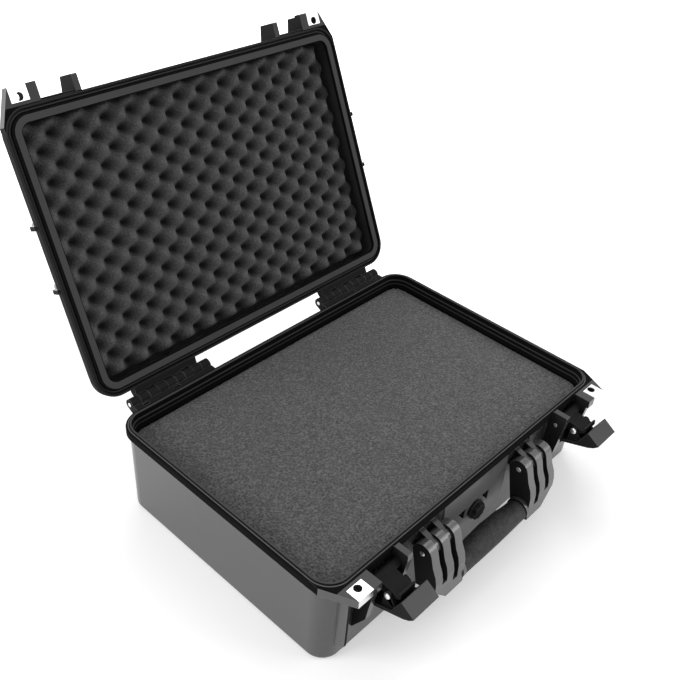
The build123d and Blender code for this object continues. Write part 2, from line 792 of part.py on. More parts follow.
def make_pivot_pin():
    """Pin through both ribs and the hook's barrel."""
    half = latch_channel / 2 + latch_rib_thickness
    return rod(pivot_y, pivot_z, latch_pin_radius, latch_offset - half, latch_offset + half)


def make_link_pin():
    """Pin through the lever's ears and the hook."""
    half = hook_width / 2 + ear_gap + ear_thickness
    return rod(link_y, link_z, latch_pin_radius, latch_offset - half, latch_offset + half)


def opened_hook(part):
    """A piece of the hook's body, from its closed place to its open one."""
    return turned(part, pivot_y, pivot_z, hook_open_angle)


def opened_lever(part):
    """A piece of the lever's body, turned back on the link pin and opened with the hook."""
    return opened_hook(turned(part, link_y, link_z, -lever_lag_angle))


# ---- Handle, drawn straight out ---------------------------------------------------
def handle_arm():
    """Right arm with three prongs round the pin and a cut outer corner."""
    end = handle_y - handle_reach - handle_end_drop
    bulge = [handle_y - place for place in handle_bulge_places]
    side = [
        (handle_y + handle_arm_back, handle_z - handle_eye_radius),
        (handle_y + handle_arm_back, handle_z + handle_eye_radius),
        (bulge[0], handle_z + handle_waist),
        (bulge[1], handle_z + handle_bulge),
        (bulge[2], handle_z + handle_bulge),
        (bulge[3], handle_z + handle_waist),
        (end, handle_z + handle_eye_radius - handle_end_taper),
        (end, handle_z - handle_eye_radius + handle_end_taper),
        (bulge[3], handle_z - handle_eye_radius),
    ]
    arm = side_plate(side, handle_inner, handle_outer, handle_arm_edge_radius)
    arm += rod(handle_y, handle_z, handle_eye_radius, handle_inner, handle_outer)
    corner = top_plate(
        [
            (handle_outer + overcut, end - overcut),
            (handle_outer - handle_corner_cut, end - overcut),
            (handle_outer + overcut, end + handle_corner_cut),
        ],
        handle_z - 2 * handle_bulge,
        handle_z + 2 * handle_bulge,
    )
    arm -= corner
    for start, slot_end in zip(slot_starts(), handle_slot_ends):
        arm -= Pos(start, handle_y - slot_end, handle_z) * Box(
            handle_slot,
            slot_end + 2 * handle_eye_radius,
            4 * handle_bulge,
            align=(Align.MIN, Align.MIN, Align.CENTER),
        )
    return arm - rod(
        handle_y, handle_z, handle_pin_radius + pin_play, handle_inner - overcut, handle_outer + overcut
    )


def make_handle_frame():
    """Both arms, their collars and the bar between them."""
    bar_y = handle_y - handle_reach
    collar = rod(
        bar_y, handle_z, handle_collar_radius, handle_inner - handle_collar_width, handle_inner + overcut
    )
    frame = both_sides(handle_arm() + collar)
    return frame + rod(
        bar_y, handle_z, handle_bar_radius, -handle_inner - overcut, handle_inner + overcut
    )


def make_handle_grip():
    """Soft grip moulded round the bar, fuller in the middle."""
    bar_y = handle_y - handle_reach
    half = handle_inner - handle_collar_width - grip_gap
    outline = make_face(
        Polyline((-half, grip_end_radius), (-half, 0), (half, 0), (half, grip_end_radius))
        + ThreePointArc((half, grip_end_radius), (0, grip_radius), (-half, grip_end_radius))
    )
    grip = Pos(0, bar_y, handle_z) * revolve(outline, Axis.X)
    return grip - rod(bar_y, handle_z, handle_bar_radius + pin_play, -half - overcut, half + overcut)


def make_handle_pin():
    """Pin through one arm and its lugs."""
    return rod(
        handle_y,
        handle_z,
        handle_pin_radius,
        handle_inner + handle_pin_recess,
        handle_outer - handle_pin_recess,
    )


# ---- Pressure valve ---------------------------------------------------------------
def make_valve_body():
    """Disc on the pad with a stem screwed into the wall, hollow for the knob's hub."""
    front = valve_pad_y - valve_gap - seal_ring_section
    body = front_disc(valve_disc_radius, front - valve_disc_thickness, front)
    body += front_disc(seal_ring_radius - seal_ring_section - seal_ring_play, front, valve_pad_y)
    body += front_disc(valve_stem_radius, front, -half_depth + flange_overhang + wall)
    return body - front_disc(
        valve_hub_radius + pin_play, front - valve_disc_thickness, valve_pad_y + valve_hub_depth
    )


def make_valve_seal():
    """Ring squeezed between the valve's disc and the pad."""
    section = seal_ring_section / 2
    middle = valve_pad_y - valve_gap / 2 - section
    return Pos(0, middle, valve_height) * Rot(90, 0, 0) * Torus(seal_ring_radius, section)


def make_valve_knob():
    """Lobed knob with a hub in the valve body."""
    seat = valve_pad_y - valve_gap - seal_ring_section - valve_disc_thickness
    back = seat - valve_gap
    knob = front_disc(valve_knob_radius, back - valve_knob_thickness, back)
    for place in PolarLocations(valve_knob_radius, valve_knob_lobes):
        at = place.position
        knob += front_disc(
            valve_lobe_radius, back - valve_knob_thickness, back, at.X, valve_height + at.Y
        )
    return knob + front_disc(valve_hub_radius, back, valve_pad_y + valve_hub_depth / 2)


# ---- Every piece at rest: lid and latches open, handle hanging ----------------------
def lid_opened(part):
    """A piece of the lid, from its closed place to its open one."""
    return turned(part, hinge_y, hinge_z, -lid_open_angle)


def handle_hung(part):
    """A piece of the handle, from straight out to hanging."""
    return turned(part, handle_y, handle_z, handle_hang_angle)


def make_pieces():
    """Every piece of the case under its node name."""
    pieces = {
        "base_shell": make_base_shell(),
        "base_foam_pad": make_base_foam_pad(),
        "base_foam_block": make_base_foam_block(),
        "lid_shell": lid_opened(make_lid_shell()),
        "lid_seal": lid_opened(make_lid_seal()),
        "lid_foam": lid_opened(make_lid_foam()),
        "name_plate": lid_opened(make_name_plate()),
        "handle_frame": handle_hung(make_handle_frame()),
        "handle_grip": handle_hung(make_handle_grip()),
        "valve_body": make_valve_body(),
        "valve_seal": make_valve_seal(),
        "valve_knob": make_valve_knob(),
    }
    hinge_pin = rod(hinge_y, hinge_z, hinge_pin_radius, hinge_start, hinge_end)
    for name, side in sides.items():
        pieces[f"hinge_pin_{name}"] = on_side(hinge_pin, side)
        pieces[f"handle_pin_{name}"] = on_side(make_handle_pin(), side)
        pieces[f"latch_hook_{name}"] = on_side(opened_hook(make_latch_hook()), side)
        pieces[f"latch_lever_{name}"] = on_side(opened_lever(make_latch_lever()), side)
        pieces[f"latch_pivot_pin_{name}"] = on_side(make_pivot_pin(), side)
        pieces[f"latch_link_pin_{name}"] = on_side(opened_lever(make_link_pin()), side)
        pieces[f"base_lock_sleeve_{name}"] = on_side(lock_sleeve(flange_low, parting_height), side)
        pieces[f"lid_lock_sleeve_{name}"] = on_side(
            lid_opened(lock_sleeve(lid_low, lid_flange_top)), side
        )
    return pieces


def main():
    """Write each piece to its own STEP file."""
    os.makedirs("parts", exist_ok=True)
    for name, piece in make_pieces().items():
        piece.label = name
        export_step(piece, f"parts/{name}.step")


main()
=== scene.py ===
"""Looks of a laptop hard case: tub, lid, foam, hinges, latches, handle, valve and eyes.

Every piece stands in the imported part's frame, in metres, with the lid and latches open
and the handle hanging. Sizes below are in millimetres and are turned into metres by MM.
"""

from __future__ import annotations

import json
import logging
from dataclasses import dataclass, field
from enum import Enum
from math import cos, pi, radians, sin

import bmesh
import bpy
from mathutils import Matrix, Vector


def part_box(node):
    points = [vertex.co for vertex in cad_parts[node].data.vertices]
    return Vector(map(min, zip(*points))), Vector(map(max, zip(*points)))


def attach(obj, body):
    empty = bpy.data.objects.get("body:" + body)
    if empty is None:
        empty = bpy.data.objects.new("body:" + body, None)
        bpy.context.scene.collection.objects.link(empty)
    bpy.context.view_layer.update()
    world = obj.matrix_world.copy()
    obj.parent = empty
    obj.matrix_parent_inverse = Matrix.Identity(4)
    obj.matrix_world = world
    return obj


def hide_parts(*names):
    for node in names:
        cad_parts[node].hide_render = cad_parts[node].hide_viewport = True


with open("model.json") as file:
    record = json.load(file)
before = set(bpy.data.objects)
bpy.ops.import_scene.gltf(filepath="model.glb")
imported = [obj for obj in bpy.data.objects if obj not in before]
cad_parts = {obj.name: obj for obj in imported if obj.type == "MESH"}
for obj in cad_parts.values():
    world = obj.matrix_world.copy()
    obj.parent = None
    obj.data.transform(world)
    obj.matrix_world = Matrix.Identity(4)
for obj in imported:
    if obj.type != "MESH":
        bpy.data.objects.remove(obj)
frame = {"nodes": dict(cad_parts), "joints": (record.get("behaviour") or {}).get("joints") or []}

Tree = bpy.types.NodeTree
Node = bpy.types.Node
Socket = bpy.types.NodeSocket
Material = bpy.types.Material
Piece = bpy.types.Object
Colour = tuple[float, float, float, float]
Span = tuple[float, float]
Point = tuple[float, float, float]

MM = 0.001
FAR = 999.0             # millimetres, further than any part of the case
FRONT = -160.4          # just before the rim flanges; ears, lugs and latch ribs reach past it
FLANGE_FOOT = 106.6     # just below the tub's rim flange
LID_MOUTH = 119.0       # just above the underside of the lid's rim flange
FLANGE_TOP = 128.6      # just above that flange
LATCH_BAY = (138.0, 194.0)      # between the ribs beside a latch, from the middle
EYE = (207.5, -169.0, 4.5)      # a padlock eye: from the middle, front to back, radius
INWARD_PRODUCT = -50.0  # millimetres, below which a face looks to the middle
SIDEWAYS_LEAN = 0.7     # share of a face's normal along X, above which it looks sideways
MERGE_DISTANCE = 2e-6   # metres, below which two corners of a node are one
FLAT_ANGLE = 0.7        # degrees, below which two faces of a node are one
BEVEL_ANGLE = 34.0      # degrees, above which an edge is rounded
SMOOTH_ANGLE = 32.0     # degrees, above which an edge stays sharp
FLUSH = 0.999           # a pin's head that is hardly narrower than the pin
HEAD_FACETS = 6         # from the middle of a pin's head to its edge
PIN_FACETS = 24         # round a pin
log = logging.getLogger("hard_case")


class Side(Enum):
    """Left or right half of the case, seen from the front."""

    LEFT = -1
    RIGHT = 1

    @property
    def word(self) -> str:
        """The side's name, as the nodes and bodies use it."""
        return self.name.lower()


class Drawn(Enum):
    """Which shut place a finish measures its heights in."""

    TUB = "as the piece stands"
    LID = "with the lid shut"


class Facing(Enum):
    """Which way the faces of a zone look."""

    ANY = "any way"
    INWARD = "towards the middle of the case"
    SIDEWAYS = "left or right"
    ENDWISE = "neither left nor right"


def grey(level: float) -> Colour:
    """Neutral colour of one level."""
    return (level, level, level, 1.0)


# ---- Building node trees ------------------------------------------------------------
class Wires:
    """Adds nodes to one tree and joins them by their sockets."""

    def __init__(self, tree: Tree) -> None:
        """Keeps the tree that nodes are added to."""
        self.tree = tree

    def node(self, kind: str, inputs: dict | None = None, **settings: object) -> Node:
        """Adds one node.

        Args:
            kind: the node's type name.
            inputs: values or sockets for its inputs, by name or number.
            settings: the node's own properties.

        Returns:
            The new node.
        """
        made = self.tree.nodes.new(kind)
        for name, value in settings.items():
            setattr(made, name, value)
        self.feed(made, inputs or {})
        return made

    def feed(self, node: Node, inputs: dict) -> None:
        """Joins or sets some inputs of a node.

        Args:
            node: the node.
            inputs: the value or the socket for each input, by name or number.
        """
        for key, value in inputs.items():
            if isinstance(value, Socket):
                self.tree.links.new(value, node.inputs[key])
            else:
                node.inputs[key].default_value = value

    def math(self, operation: str, *values: object, clamp: bool = False) -> Socket:
        """Output of one Math node."""
        inputs = dict(enumerate(values))
        return self.node("ShaderNodeMath", inputs, operation=operation, use_clamp=clamp).outputs[0]

    def stretch(self, value: object, low: float, high: float, to_low: float, to_high: float) -> Socket:
        """A value moved from one range to another, clamped."""
        inputs = {"Value": value, 1: low, 2: high, 3: to_low, 4: to_high}
        return self.node("ShaderNodeMapRange", inputs, clamp=True).outputs[0]

    def band(self, value: object, low: float, high: float, soft: float = 0.1) -> Socket:
        """One between two limits in millimetres, nought outside them.

        Args:
            value: the place along one axis, in metres.
            low: lower limit.
            high: upper limit.
            soft: half the width over which each end fades.

        Returns:
            The mask.
        """
        rise = self.stretch(value, (low - soft) * MM, (low + soft) * MM, 0.0, 1.0)
        fall = self.stretch(value, (high - soft) * MM, (high + soft) * MM, 1.0, 0.0)
        return self.math("MULTIPLY", rise, fall)

    def blend(self, factor: object, first: object, second: object) -> Socket:
        """Two colours mixed by a factor."""
        inputs = {0: factor, 6: first, 7: second}
        return self.node("ShaderNodeMix", inputs, data_type="RGBA").outputs[2]

    def scaled(self, colour: object, factor: object) -> Socket:
        """A colour made lighter or darker by a factor."""
        return self.node("ShaderNodeVectorMath", {0: colour, "Scale": factor}, operation="SCALE").outputs[0]

    def place(self) -> Socket:
        """The point's place in the piece's own frame."""
        return self.node("ShaderNodeTexCoord").outputs["Object"]

    def noise(self, place: Socket, scale: object, detail: float, roughness: float = 0.5) -> Socket:
        """Soft noise from nought to one over a place."""
        inputs = {"Vector": place, "Scale": scale, "Detail": detail, "Roughness": roughness}
        return self.node("ShaderNodeTexNoise", inputs).outputs["Fac"]

    def bump(self, height: Socket, distance: float, strength: float = 1.0) -> Socket:
        """The normal of a surface with a fine relief, its depth in millimetres."""
        inputs = {"Height": height, "Distance": distance * MM, "Strength": strength}
        return self.node("ShaderNodeBump", inputs).outputs["Normal"]


def new_group(kind: str, name: str, inputs: dict[str, object], outputs: list[str]) -> tuple[Wires, dict]:
    """Starts a node group with named sockets.

    Args:
        kind: type of tree.
        name: the group's name.
        inputs: name and default of each input; a string names a socket type instead.
        outputs: name of each output, a number, or geometry in a geometry tree.

    Returns:
        The wires, and the input sockets inside the group by name.
    """
    tree = bpy.data.node_groups.new(name, kind)
    for label, default in inputs.items():
        socket_type = default if isinstance(default, str) else "NodeSocketFloat"
        socket = tree.interface.new_socket(name=label, in_out="INPUT", socket_type=socket_type)
        if not isinstance(default, str):
            socket.default_value = default
    out_type = "NodeSocketGeometry" if kind == "GeometryNodeTree" else "NodeSocketFloat"
    for label in outputs:
        tree.interface.new_socket(name=label, in_out="OUTPUT", socket_type=out_type)
    wires = Wires(tree)
    entry = wires.node("NodeGroupInput")
    return wires, {label: entry.outputs[label] for label in inputs}


def close_group(wires: Wires, results: dict[str, Socket]) -> Tree:
    """Joins the group's results to its outputs and returns the tree."""
    wires.node("NodeGroupOutput", results)
    return wires.tree


# ---- Shared surface effects ---------------------------------------------------------
def make_grain_group() -> Tree:
    """Moulded grain with faint smudges.

    Returns:
        The group, which gives a height, a shade and a change of gloss.
    """
    wires, given = new_group(
        "ShaderNodeTree",
        "moulded_grain",
        {"Grain Size": 0.0008, "Smudge Size": 0.05, "Shade Spread": 0.1, "Gloss Spread": 0.1},
        ["Height", "Shade", "Gloss"],
    )
    place = wires.place()
    fine = wires.math("DIVIDE", 1.0, given["Grain Size"])
    broad = wires.math("DIVIDE", 1.0, given["Smudge Size"])
    pebbles = wires.node("ShaderNodeTexVoronoi", {"Vector": place, "Scale": fine}, feature="SMOOTH_F1")
    dust = wires.noise(place, fine, 4.0)
    smudge = wires.noise(place, broad, 5.0, 0.62)
    dust_rise, dust_shade, mean = 0.6, 0.5, 0.5
    height = wires.math("ADD", pebbles.outputs["Distance"], wires.math("MULTIPLY", dust, dust_rise))
    centred = wires.math("SUBTRACT", smudge, mean)
    speck = wires.math("MULTIPLY", wires.math("SUBTRACT", dust, mean), dust_shade)
    spread = wires.math("MULTIPLY", wires.math("ADD", centred, speck), given["Shade Spread"])
    shade = wires.math("MULTIPLY_ADD", spread, 2.0, 1.0)
    gloss = wires.math("MULTIPLY", centred, given["Gloss Spread"])
    return close_group(wires, {"Height": height, "Shade": shade, "Gloss": gloss})


def make_wear_group() -> Tree:
    """Edges that are rubbed by handling, and edges painted lighter as a highlight, where the rounded normal
    leaves the true one.

    Returns:
        The group, which gives a mask.
    """
    wires, given = new_group("ShaderNodeTree", "edge_wear", {"Radius": 0.0008, "Amount": 1.0}, ["Mask"])
    rounded = wires.node("ShaderNodeBevel", {"Radius": given["Radius"]}, samples=6)
    true_normal = wires.node("ShaderNodeNewGeometry").outputs["Normal"]
    normals = {0: rounded.outputs["Normal"], 1: true_normal}
    alike = wires.node("ShaderNodeVectorMath", normals, operation="DOT_PRODUCT").outputs["Value"]
    unmarked, fully_marked, least = 0.99, 0.82, 0.35
    # the mask marks edges rubbed lighter and edges with a painted highlight
    edge = wires.stretch(alike, unmarked, fully_marked, 0.0, 1.0)
    patchy = wires.stretch(wires.noise(wires.place(), 50.0, 4.0, 0.55), 0.3, 0.6, least, 1.0)
    mask = wires.math("MULTIPLY", wires.math("MULTIPLY", edge, patchy), given["Amount"], clamp=True)
    return close_group(wires, {"Mask": mask})


def make_cell_group() -> Tree:
    """Open foam cells in two sizes.

    Returns:
        The group, which gives a height and a shade.
    """
    wires, given = new_group(
        "ShaderNodeTree", "foam_cells", {"Cell Size": 0.0012, "Contrast": 0.3}, ["Height", "Shade"]
    )
    place = wires.place()
    scale = wires.math("DIVIDE", 1.0, given["Cell Size"])
    clump_scale, spread, mean, darkest = 0.42, 0.75, 0.55, 0.15
    coarse = wires.math("MULTIPLY", scale, clump_scale)
    cells = wires.node("ShaderNodeTexVoronoi", {"Vector": place, "Scale": scale}, feature="F1")
    clumps = wires.noise(place, coarse, 4.0, 0.7)
    height = wires.math("ADD", cells.outputs["Distance"], clumps)
    centred = wires.math("SUBTRACT", wires.math("MULTIPLY", height, spread), mean)
    shade = wires.math("MULTIPLY_ADD", centred, wires.math("MULTIPLY", given["Contrast"], 4.0), 1.0)
    return close_group(wires, {"Height": height, "Shade": wires.math("MAXIMUM", shade, darkest)})


def make_inset_group() -> Tree:
    """Outline of the rim flanges, a rectangle with round corners, seen from above.

    Returns:
        The group, which gives how far a place lies inside the outline.
    """
    wires, given = new_group(
        "ShaderNodeTree",
        "rim_inset",
        {"Place": "NodeSocketVector", "Half Width": 0.235, "Half Depth": 0.16, "Corner": 0.028},
        ["Inset"],
    )
    parts = wires.node("ShaderNodeSeparateXYZ", {0: given["Place"]})
    overs = []
    for axis, half in (("X", given["Half Width"]), ("Y", given["Half Depth"])):
        distance = wires.math("ABSOLUTE", parts.outputs[axis])
        overs.append(wires.math("SUBTRACT", distance, wires.math("SUBTRACT", half, given["Corner"])))
    outside = [wires.math("MAXIMUM", over, 0.0) for over in overs]
    reach = wires.math("SQRT", wires.math("ADD", *(wires.math("MULTIPLY", over, over) for over in outside)))
    within = wires.math("MINIMUM", wires.math("MAXIMUM", *overs), 0.0)
    inset = wires.math("SUBTRACT", given["Corner"], wires.math("ADD", reach, within))
    return close_group(wires, {"Inset": inset})


class Effects:
    """The shared shader groups, each made once, and the move back to the shut lid."""

    def __init__(self, lid_shut: Matrix) -> None:
        """Builds the groups.

        Args:
            lid_shut: from the open lid's place to its shut one.
        """
        self.grain = make_grain_group()
        self.wear = make_wear_group()
        self.cells = make_cell_group()
        self.inset = make_inset_group()
        self.lid_shut = lid_shut

    def place(self, wires: Wires, drawn: Drawn) -> Socket:
        """The point's place, as a finish measures it.

        Args:
            wires: the material's wires.
            drawn: the shut place that the finish measures in.

        Returns:
            The place, in metres.
        """
        if drawn is Drawn.TUB:
            return wires.place()
        inputs = {
            "Vector": wires.place(),
            "Location": tuple(self.lid_shut.translation),
            "Rotation": tuple(self.lid_shut.to_euler()),
        }
        return wires.node("ShaderNodeMapping", inputs).outputs[0]

    def inside(self, wires: Wires, place: Socket) -> Socket:
        """How far a place lies inside the rim's outline, in metres."""
        return wires.node("ShaderNodeGroup", {"Place": place}, node_tree=self.inset).outputs["Inset"]


# ---- Finishes -----------------------------------------------------------------------
def new_material(name: str) -> tuple[Material, Wires, Node]:
    """Starts a material.

    Args:
        name: the material's name.

    Returns:
        The material, its wires and its Principled shader.
    """
    material = bpy.data.materials.new(name)
    material.use_nodes = True
    return material, Wires(material.node_tree), material.node_tree.nodes["Principled BSDF"]


@dataclass(frozen=True)
class Finish:
    """What a piece is made of.

    Args:
        name: the material's name.
        colour: body colour.
    """

    name: str
    colour: Colour

    def surface(self, wires: Wires, effects: Effects) -> dict[str, object]:
        """The surface that the shader shows, which each kind of finish gives its own way.

        Args:
            wires: the material's wires.
            effects: the shared effects.

        Returns:
            The value or the socket for each input of the shader.
        """
        raise NotImplementedError

    def build(self, effects: Effects) -> Material:
        """Makes the material.

        Args:
            effects: the shared effects.

        Returns:
            The material.
        """
        material, wires, shader = new_material(self.name)
        wires.feed(shader, self.surface(wires, effects))
        return material


@dataclass(frozen=True)
class Patch:
    """Part of a moulding painted in another shade, between limits in millimetres; most patches are painted
    highlights, painted shade or painted light.

    Args:
        colour: colour there.
        inset: nearest and furthest inside the outline of the rim flanges.
        low: lowest corner, with the case shut.
        high: highest corner.
    """

    colour: Colour
    inset: Span = (-FAR, FAR)
    low: Point = (-FAR, -FAR, -FAR)
    high: Point = (FAR, FAR, FAR)

    def mask(self, wires: Wires, parts: Node, inset: Socket) -> Socket:
        """Where the patch is.

        Args:
            wires: the material's wires.
            parts: the node that gives the place's three coordinates.
            inset: how far the place lies inside the outline.

        Returns:
            One inside the limits, nought outside them.
        """
        limits = [(inset, *self.inset), *zip(parts.outputs, self.low, self.high)]
        bands = [wires.band(value, low, high) for value, low, high in limits if (low, high) != (-FAR, FAR)]
        total = bands[0]
        for band in bands[1:]:
            total = wires.math("MULTIPLY", total, band)
        return total


@dataclass(frozen=True)
class Plastic(Finish):
    """Moulded plastic: fine grain, faint smudges, and edges a little lighter, both rubbed and painted as a
    highlight.

    Args:
        edge: colour of the edges, rubbed lighter and also painted as a highlight.
        roughness: of the open faces.
        grain: size of the grain, in millimetres.
        depth: depth of the grain, in millimetres.
        shine: strength of the reflections.
        mottle: how far the smudges stray from the body colour.
        smudge: size of the smudges, in millimetres.
        patches: parts painted in another shade, among them painted highlight lines, painted shade and painted
            light, each over the ones before it.
        drawn: the shut place that the patches are measured in.
        relief: strength of the grain's relief.
    """

    edge: Colour
    roughness: float
    grain: float = 0.9
    depth: float = 0.05
    shine: float = 0.2
    mottle: float = 0.1
    smudge: float = 50.0
    patches: tuple[Patch, ...] = ()
    drawn: Drawn = Drawn.TUB
    relief: float = 0.6

    def patched(self, wires: Wires, effects: Effects) -> Socket | tuple[float, ...]:
        """The body colour with every patch over it.

        Args:
            wires: the material's wires.
            effects: the shared effects.

        Returns:
            A plain colour where there is no patch, and else a socket.
        """
        if not self.patches:
            return self.colour[:3]
        place = effects.place(wires, self.drawn)
        inset = effects.inside(wires, place)
        parts = wires.node("ShaderNodeSeparateXYZ", {0: place})
        colour: object = self.colour
        for patch in self.patches:
            colour = wires.blend(patch.mask(wires, parts, inset), colour, patch.colour)
        return colour

    def surface(self, wires: Wires, effects: Effects) -> dict[str, object]:
        """Grain and smudges over the body colour, and edges rubbed lighter and painted with a highlight.

        Args:
            wires: the material's wires.
            effects: the shared effects.

        Returns:
            The value or the socket for each input of the shader.
        """
        sizes = {"Grain Size": self.grain * MM, "Smudge Size": self.smudge * MM, "Shade Spread": self.mottle}
        grain = wires.node("ShaderNodeGroup", sizes, node_tree=effects.grain).outputs
        wear = wires.node("ShaderNodeGroup", node_tree=effects.wear).outputs["Mask"]
        shaded = wires.scaled(self.patched(wires, effects), grain["Shade"])
        return {
            # edges lighter where rubbed and where a highlight is painted
            "Base Color": wires.blend(wear, shaded, self.edge),
            "Roughness": wires.math("ADD", grain["Gloss"], self.roughness, clamp=True),
            "Normal": wires.bump(grain["Height"], self.depth, self.relief),
            "Specular IOR Level": self.shine,
        }


@dataclass(frozen=True)
class Foam(Finish):
    """Open-cell foam, fully matt with fine speckles, and with painted shade in the pits and along the edge of
    egg-crate foam.

    Args:
        cell: size of a cell, in millimetres.
        contrast: how far the speckles stray from the mean.
        relief: heights of the peaks and of the pits, where shade is painted, with the lid shut; none on flat
            foam.
        border: how far inside the rim's outline the foam starts, and where the painted shade along its edge
            ends.
        pit_shade: share of the colour that is left where shade is painted, in the pits and at the edge.
        drawn: the shut place that those heights are measured in.
        depth: depth of the cells, in millimetres.
        shine: strength of the reflections.
        sheen: strength and roughness of the soft sheen of the cells' edges.
    """

    cell: float = 1.3
    contrast: float = 0.3
    relief: Span | None = None
    border: Span = (18.0, 24.0)
    pit_shade: float = 0.12
    drawn: Drawn = Drawn.TUB
    depth: float = 0.7
    shine: float = 0.15
    sheen: Span = (0.15, 0.6)

    def shaded_by_depth(self, wires: Wires, effects: Effects, shade: Socket) -> Socket:
        """The speckles' shade, with painted shade in the pits and close to the edge.

        Args:
            wires: the material's wires.
            effects: the shared effects.
            shade: the speckles' own shade.

        Returns:
            The shade by which the colour is multiplied.
        """
        if self.relief is None:
            return shade
        place = effects.place(wires, self.drawn)
        height = wires.node("ShaderNodeSeparateXYZ", {0: place}).outputs["Z"]
        peak, pit = (level * MM for level in self.relief)
        start, end = (level * MM for level in self.border)
        # painted shade: darker deeper in the pits and close to the foam's edge
        from_pit = wires.stretch(height, peak, pit, 1.0, self.pit_shade)
        from_edge = wires.stretch(effects.inside(wires, place), start, end, self.pit_shade, 1.0)
        return wires.math("MULTIPLY", shade, wires.math("MULTIPLY", from_pit, from_edge))

    def surface(self, wires: Wires, effects: Effects) -> dict[str, object]:
        """Speckles of the open cells, with painted shade in the pits.

        Args:
            wires: the material's wires.
            effects: the shared effects.

        Returns:
            The value or the socket for each input of the shader.
        """
        sizes = {"Cell Size": self.cell * MM, "Contrast": self.contrast}
        cells = wires.node("ShaderNodeGroup", sizes, node_tree=effects.cells).outputs
        return {
            "Base Color": wires.scaled(self.colour[:3], self.shaded_by_depth(wires, effects, cells["Shade"])),
            "Normal": wires.bump(cells["Height"], self.depth),
            "Roughness": 1.0,
            "Specular IOR Level": self.shine,
            "Sheen Weight": self.sheen[0],
            "Sheen Roughness": self.sheen[1],
        }


@dataclass(frozen=True)
class Steel(Finish):
    """Bright steel with fine lines drawn along X.

    Args:
        roughness: mean roughness.
        line: width of the lines, in millimetres.
        bore: distance of a bore's axis from the middle, its place front to back, and its radius; the bore's
            wall is painted in shade.
        drawn: the shut place that the bore is measured in.
        dull: share of the colour that is left between the lines.
        depth: depth of the lines, in millimetres.
        draw: how fast the lines change along their length, as a share of how fast they do across it.
        gloss_spread: least and most that the lines add to the roughness.
        worn: what rubbing adds to it at the edges.
        hole: colour of the painted shade on the bore's wall.
    """

    roughness: float
    line: float = 0.25
    bore: Point | None = None
    drawn: Drawn = Drawn.TUB
    dull: float = 0.8
    depth: float = 0.01
    draw: float = 0.04
    gloss_spread: Span = (-0.06, 0.08)
    worn: float = 0.15
    hole: Colour = grey(0.01)

    def bore_mask(self, wires: Wires, effects: Effects) -> Socket:
        """Where the wall of the bore is.

        Args:
            wires: the material's wires.
            effects: the shared effects.

        Returns:
            One on that wall, nought elsewhere.
        """
        parts = wires.node("ShaderNodeSeparateXYZ", {0: effects.place(wires, self.drawn)})
        across, along, radius = (size * MM for size in self.bore)
        aside = wires.math("SUBTRACT", wires.math("ABSOLUTE", parts.outputs["X"]), across)
        ahead = wires.math("SUBTRACT", parts.outputs["Y"], along)
        square = wires.math("ADD", wires.math("MULTIPLY", aside, aside), wires.math("MULTIPLY", ahead, ahead))
        return wires.math("LESS_THAN", wires.math("SQRT", square), radius)

    def surface(self, wires: Wires, effects: Effects) -> dict[str, object]:
        """Drawn lines over the metal, duller at the edges, and painted shade in the bore.

        Args:
            wires: the material's wires.
            effects: the shared effects.

        Returns:
            The value or the socket for each input of the shader.
        """
        drawn_out = wires.node("ShaderNodeMapping", {"Vector": wires.place(), "Scale": (self.draw, 1.0, 1.0)})
        lines = wires.noise(drawn_out.outputs[0], 1.0 / (self.line * MM), 3.0)
        wear = wires.node("ShaderNodeGroup", node_tree=effects.wear).outputs["Mask"]
        dull = tuple(self.dull * level for level in self.colour[:3]) + (1.0,)
        colour = wires.blend(wires.stretch(lines, 0.3, 0.7, 0.0, 1.0), dull, self.colour)
        if self.bore is not None:
            # painted shade on the bore's wall
            colour = wires.blend(self.bore_mask(wires, effects), colour, self.hole)
        gloss = wires.math("ADD", wires.stretch(lines, 0.3, 0.7, *self.gloss_spread), self.roughness)
        return {
            "Base Color": colour,
            "Roughness": wires.math("MULTIPLY_ADD", wear, self.worn, gloss),
            "Normal": wires.bump(lines, self.depth),
            "Metallic": 1.0,
        }


def rim_line(level: float, inset: Span, bottom: float = -FAR, top: float = FAR) -> Patch:
    """A line round a rim, between two insets and two heights in millimetres."""
    return Patch(grey(level), inset, (-FAR, -FAR, bottom), (FAR, FAR, top))


def ahead_of_rim(level: float) -> Patch:
    """The shade of the ears, lugs and ribs that stand before the rim."""
    return Patch(grey(level), high=(FAR, FRONT, FAR))


BLACK = grey(0.004)
# painted highlight lines round the tub's rim and in its mouth, where its edges catch the light, over the rim's
# painted shade
TUB_PATCHES = (
    rim_line(0.13, (2.2, 3.5), bottom=115.5),               # flange, just outside the tongue
    rim_line(0.065, (4.6, 6.3), bottom=117.5),              # top of the tongue
    rim_line(0.05, (6.3, 8.2), bottom=110.6, top=111.4),    # ledge in the mouth
    rim_line(0.04, (7.6, FAR), bottom=104.8, top=106.2),    # wall below the ledge
    ahead_of_rim(0.08),
)
# a painted highlight line on the lid's flange, and its flat inner lip in a lighter grey, over the rim's
# painted shade
LID_PATCHES = (
    rim_line(0.03, (0.6, 2.4), top=LID_MOUTH),              # flange, outside the seal's groove
    rim_line(0.068, (9.2, 16.4), top=117.0),                # flat inner lip
    ahead_of_rim(0.07),
)
# painted light: the front panel between the handle's arms made lighter, as where it catches the light
PANEL_PAINTED_LIGHT = Patch(grey(0.1), low=(-57.2, FRONT, 8.0), high=(57.2, -150.0, 107.0))
# painted shade in the two shallow pockets on the front panel
POCKETS_PAINTED_SHADE = Patch(BLACK, low=(-31.0, -157.0, 50.0), high=(31.0, -152.5, 72.0))
FRONT_PATCHES = (PANEL_PAINTED_LIGHT, POCKETS_PAINTED_SHADE)
SHELL = Plastic("shell_plastic", grey(0.036), grey(0.18), 0.24, shine=0.75, patches=FRONT_PATCHES)
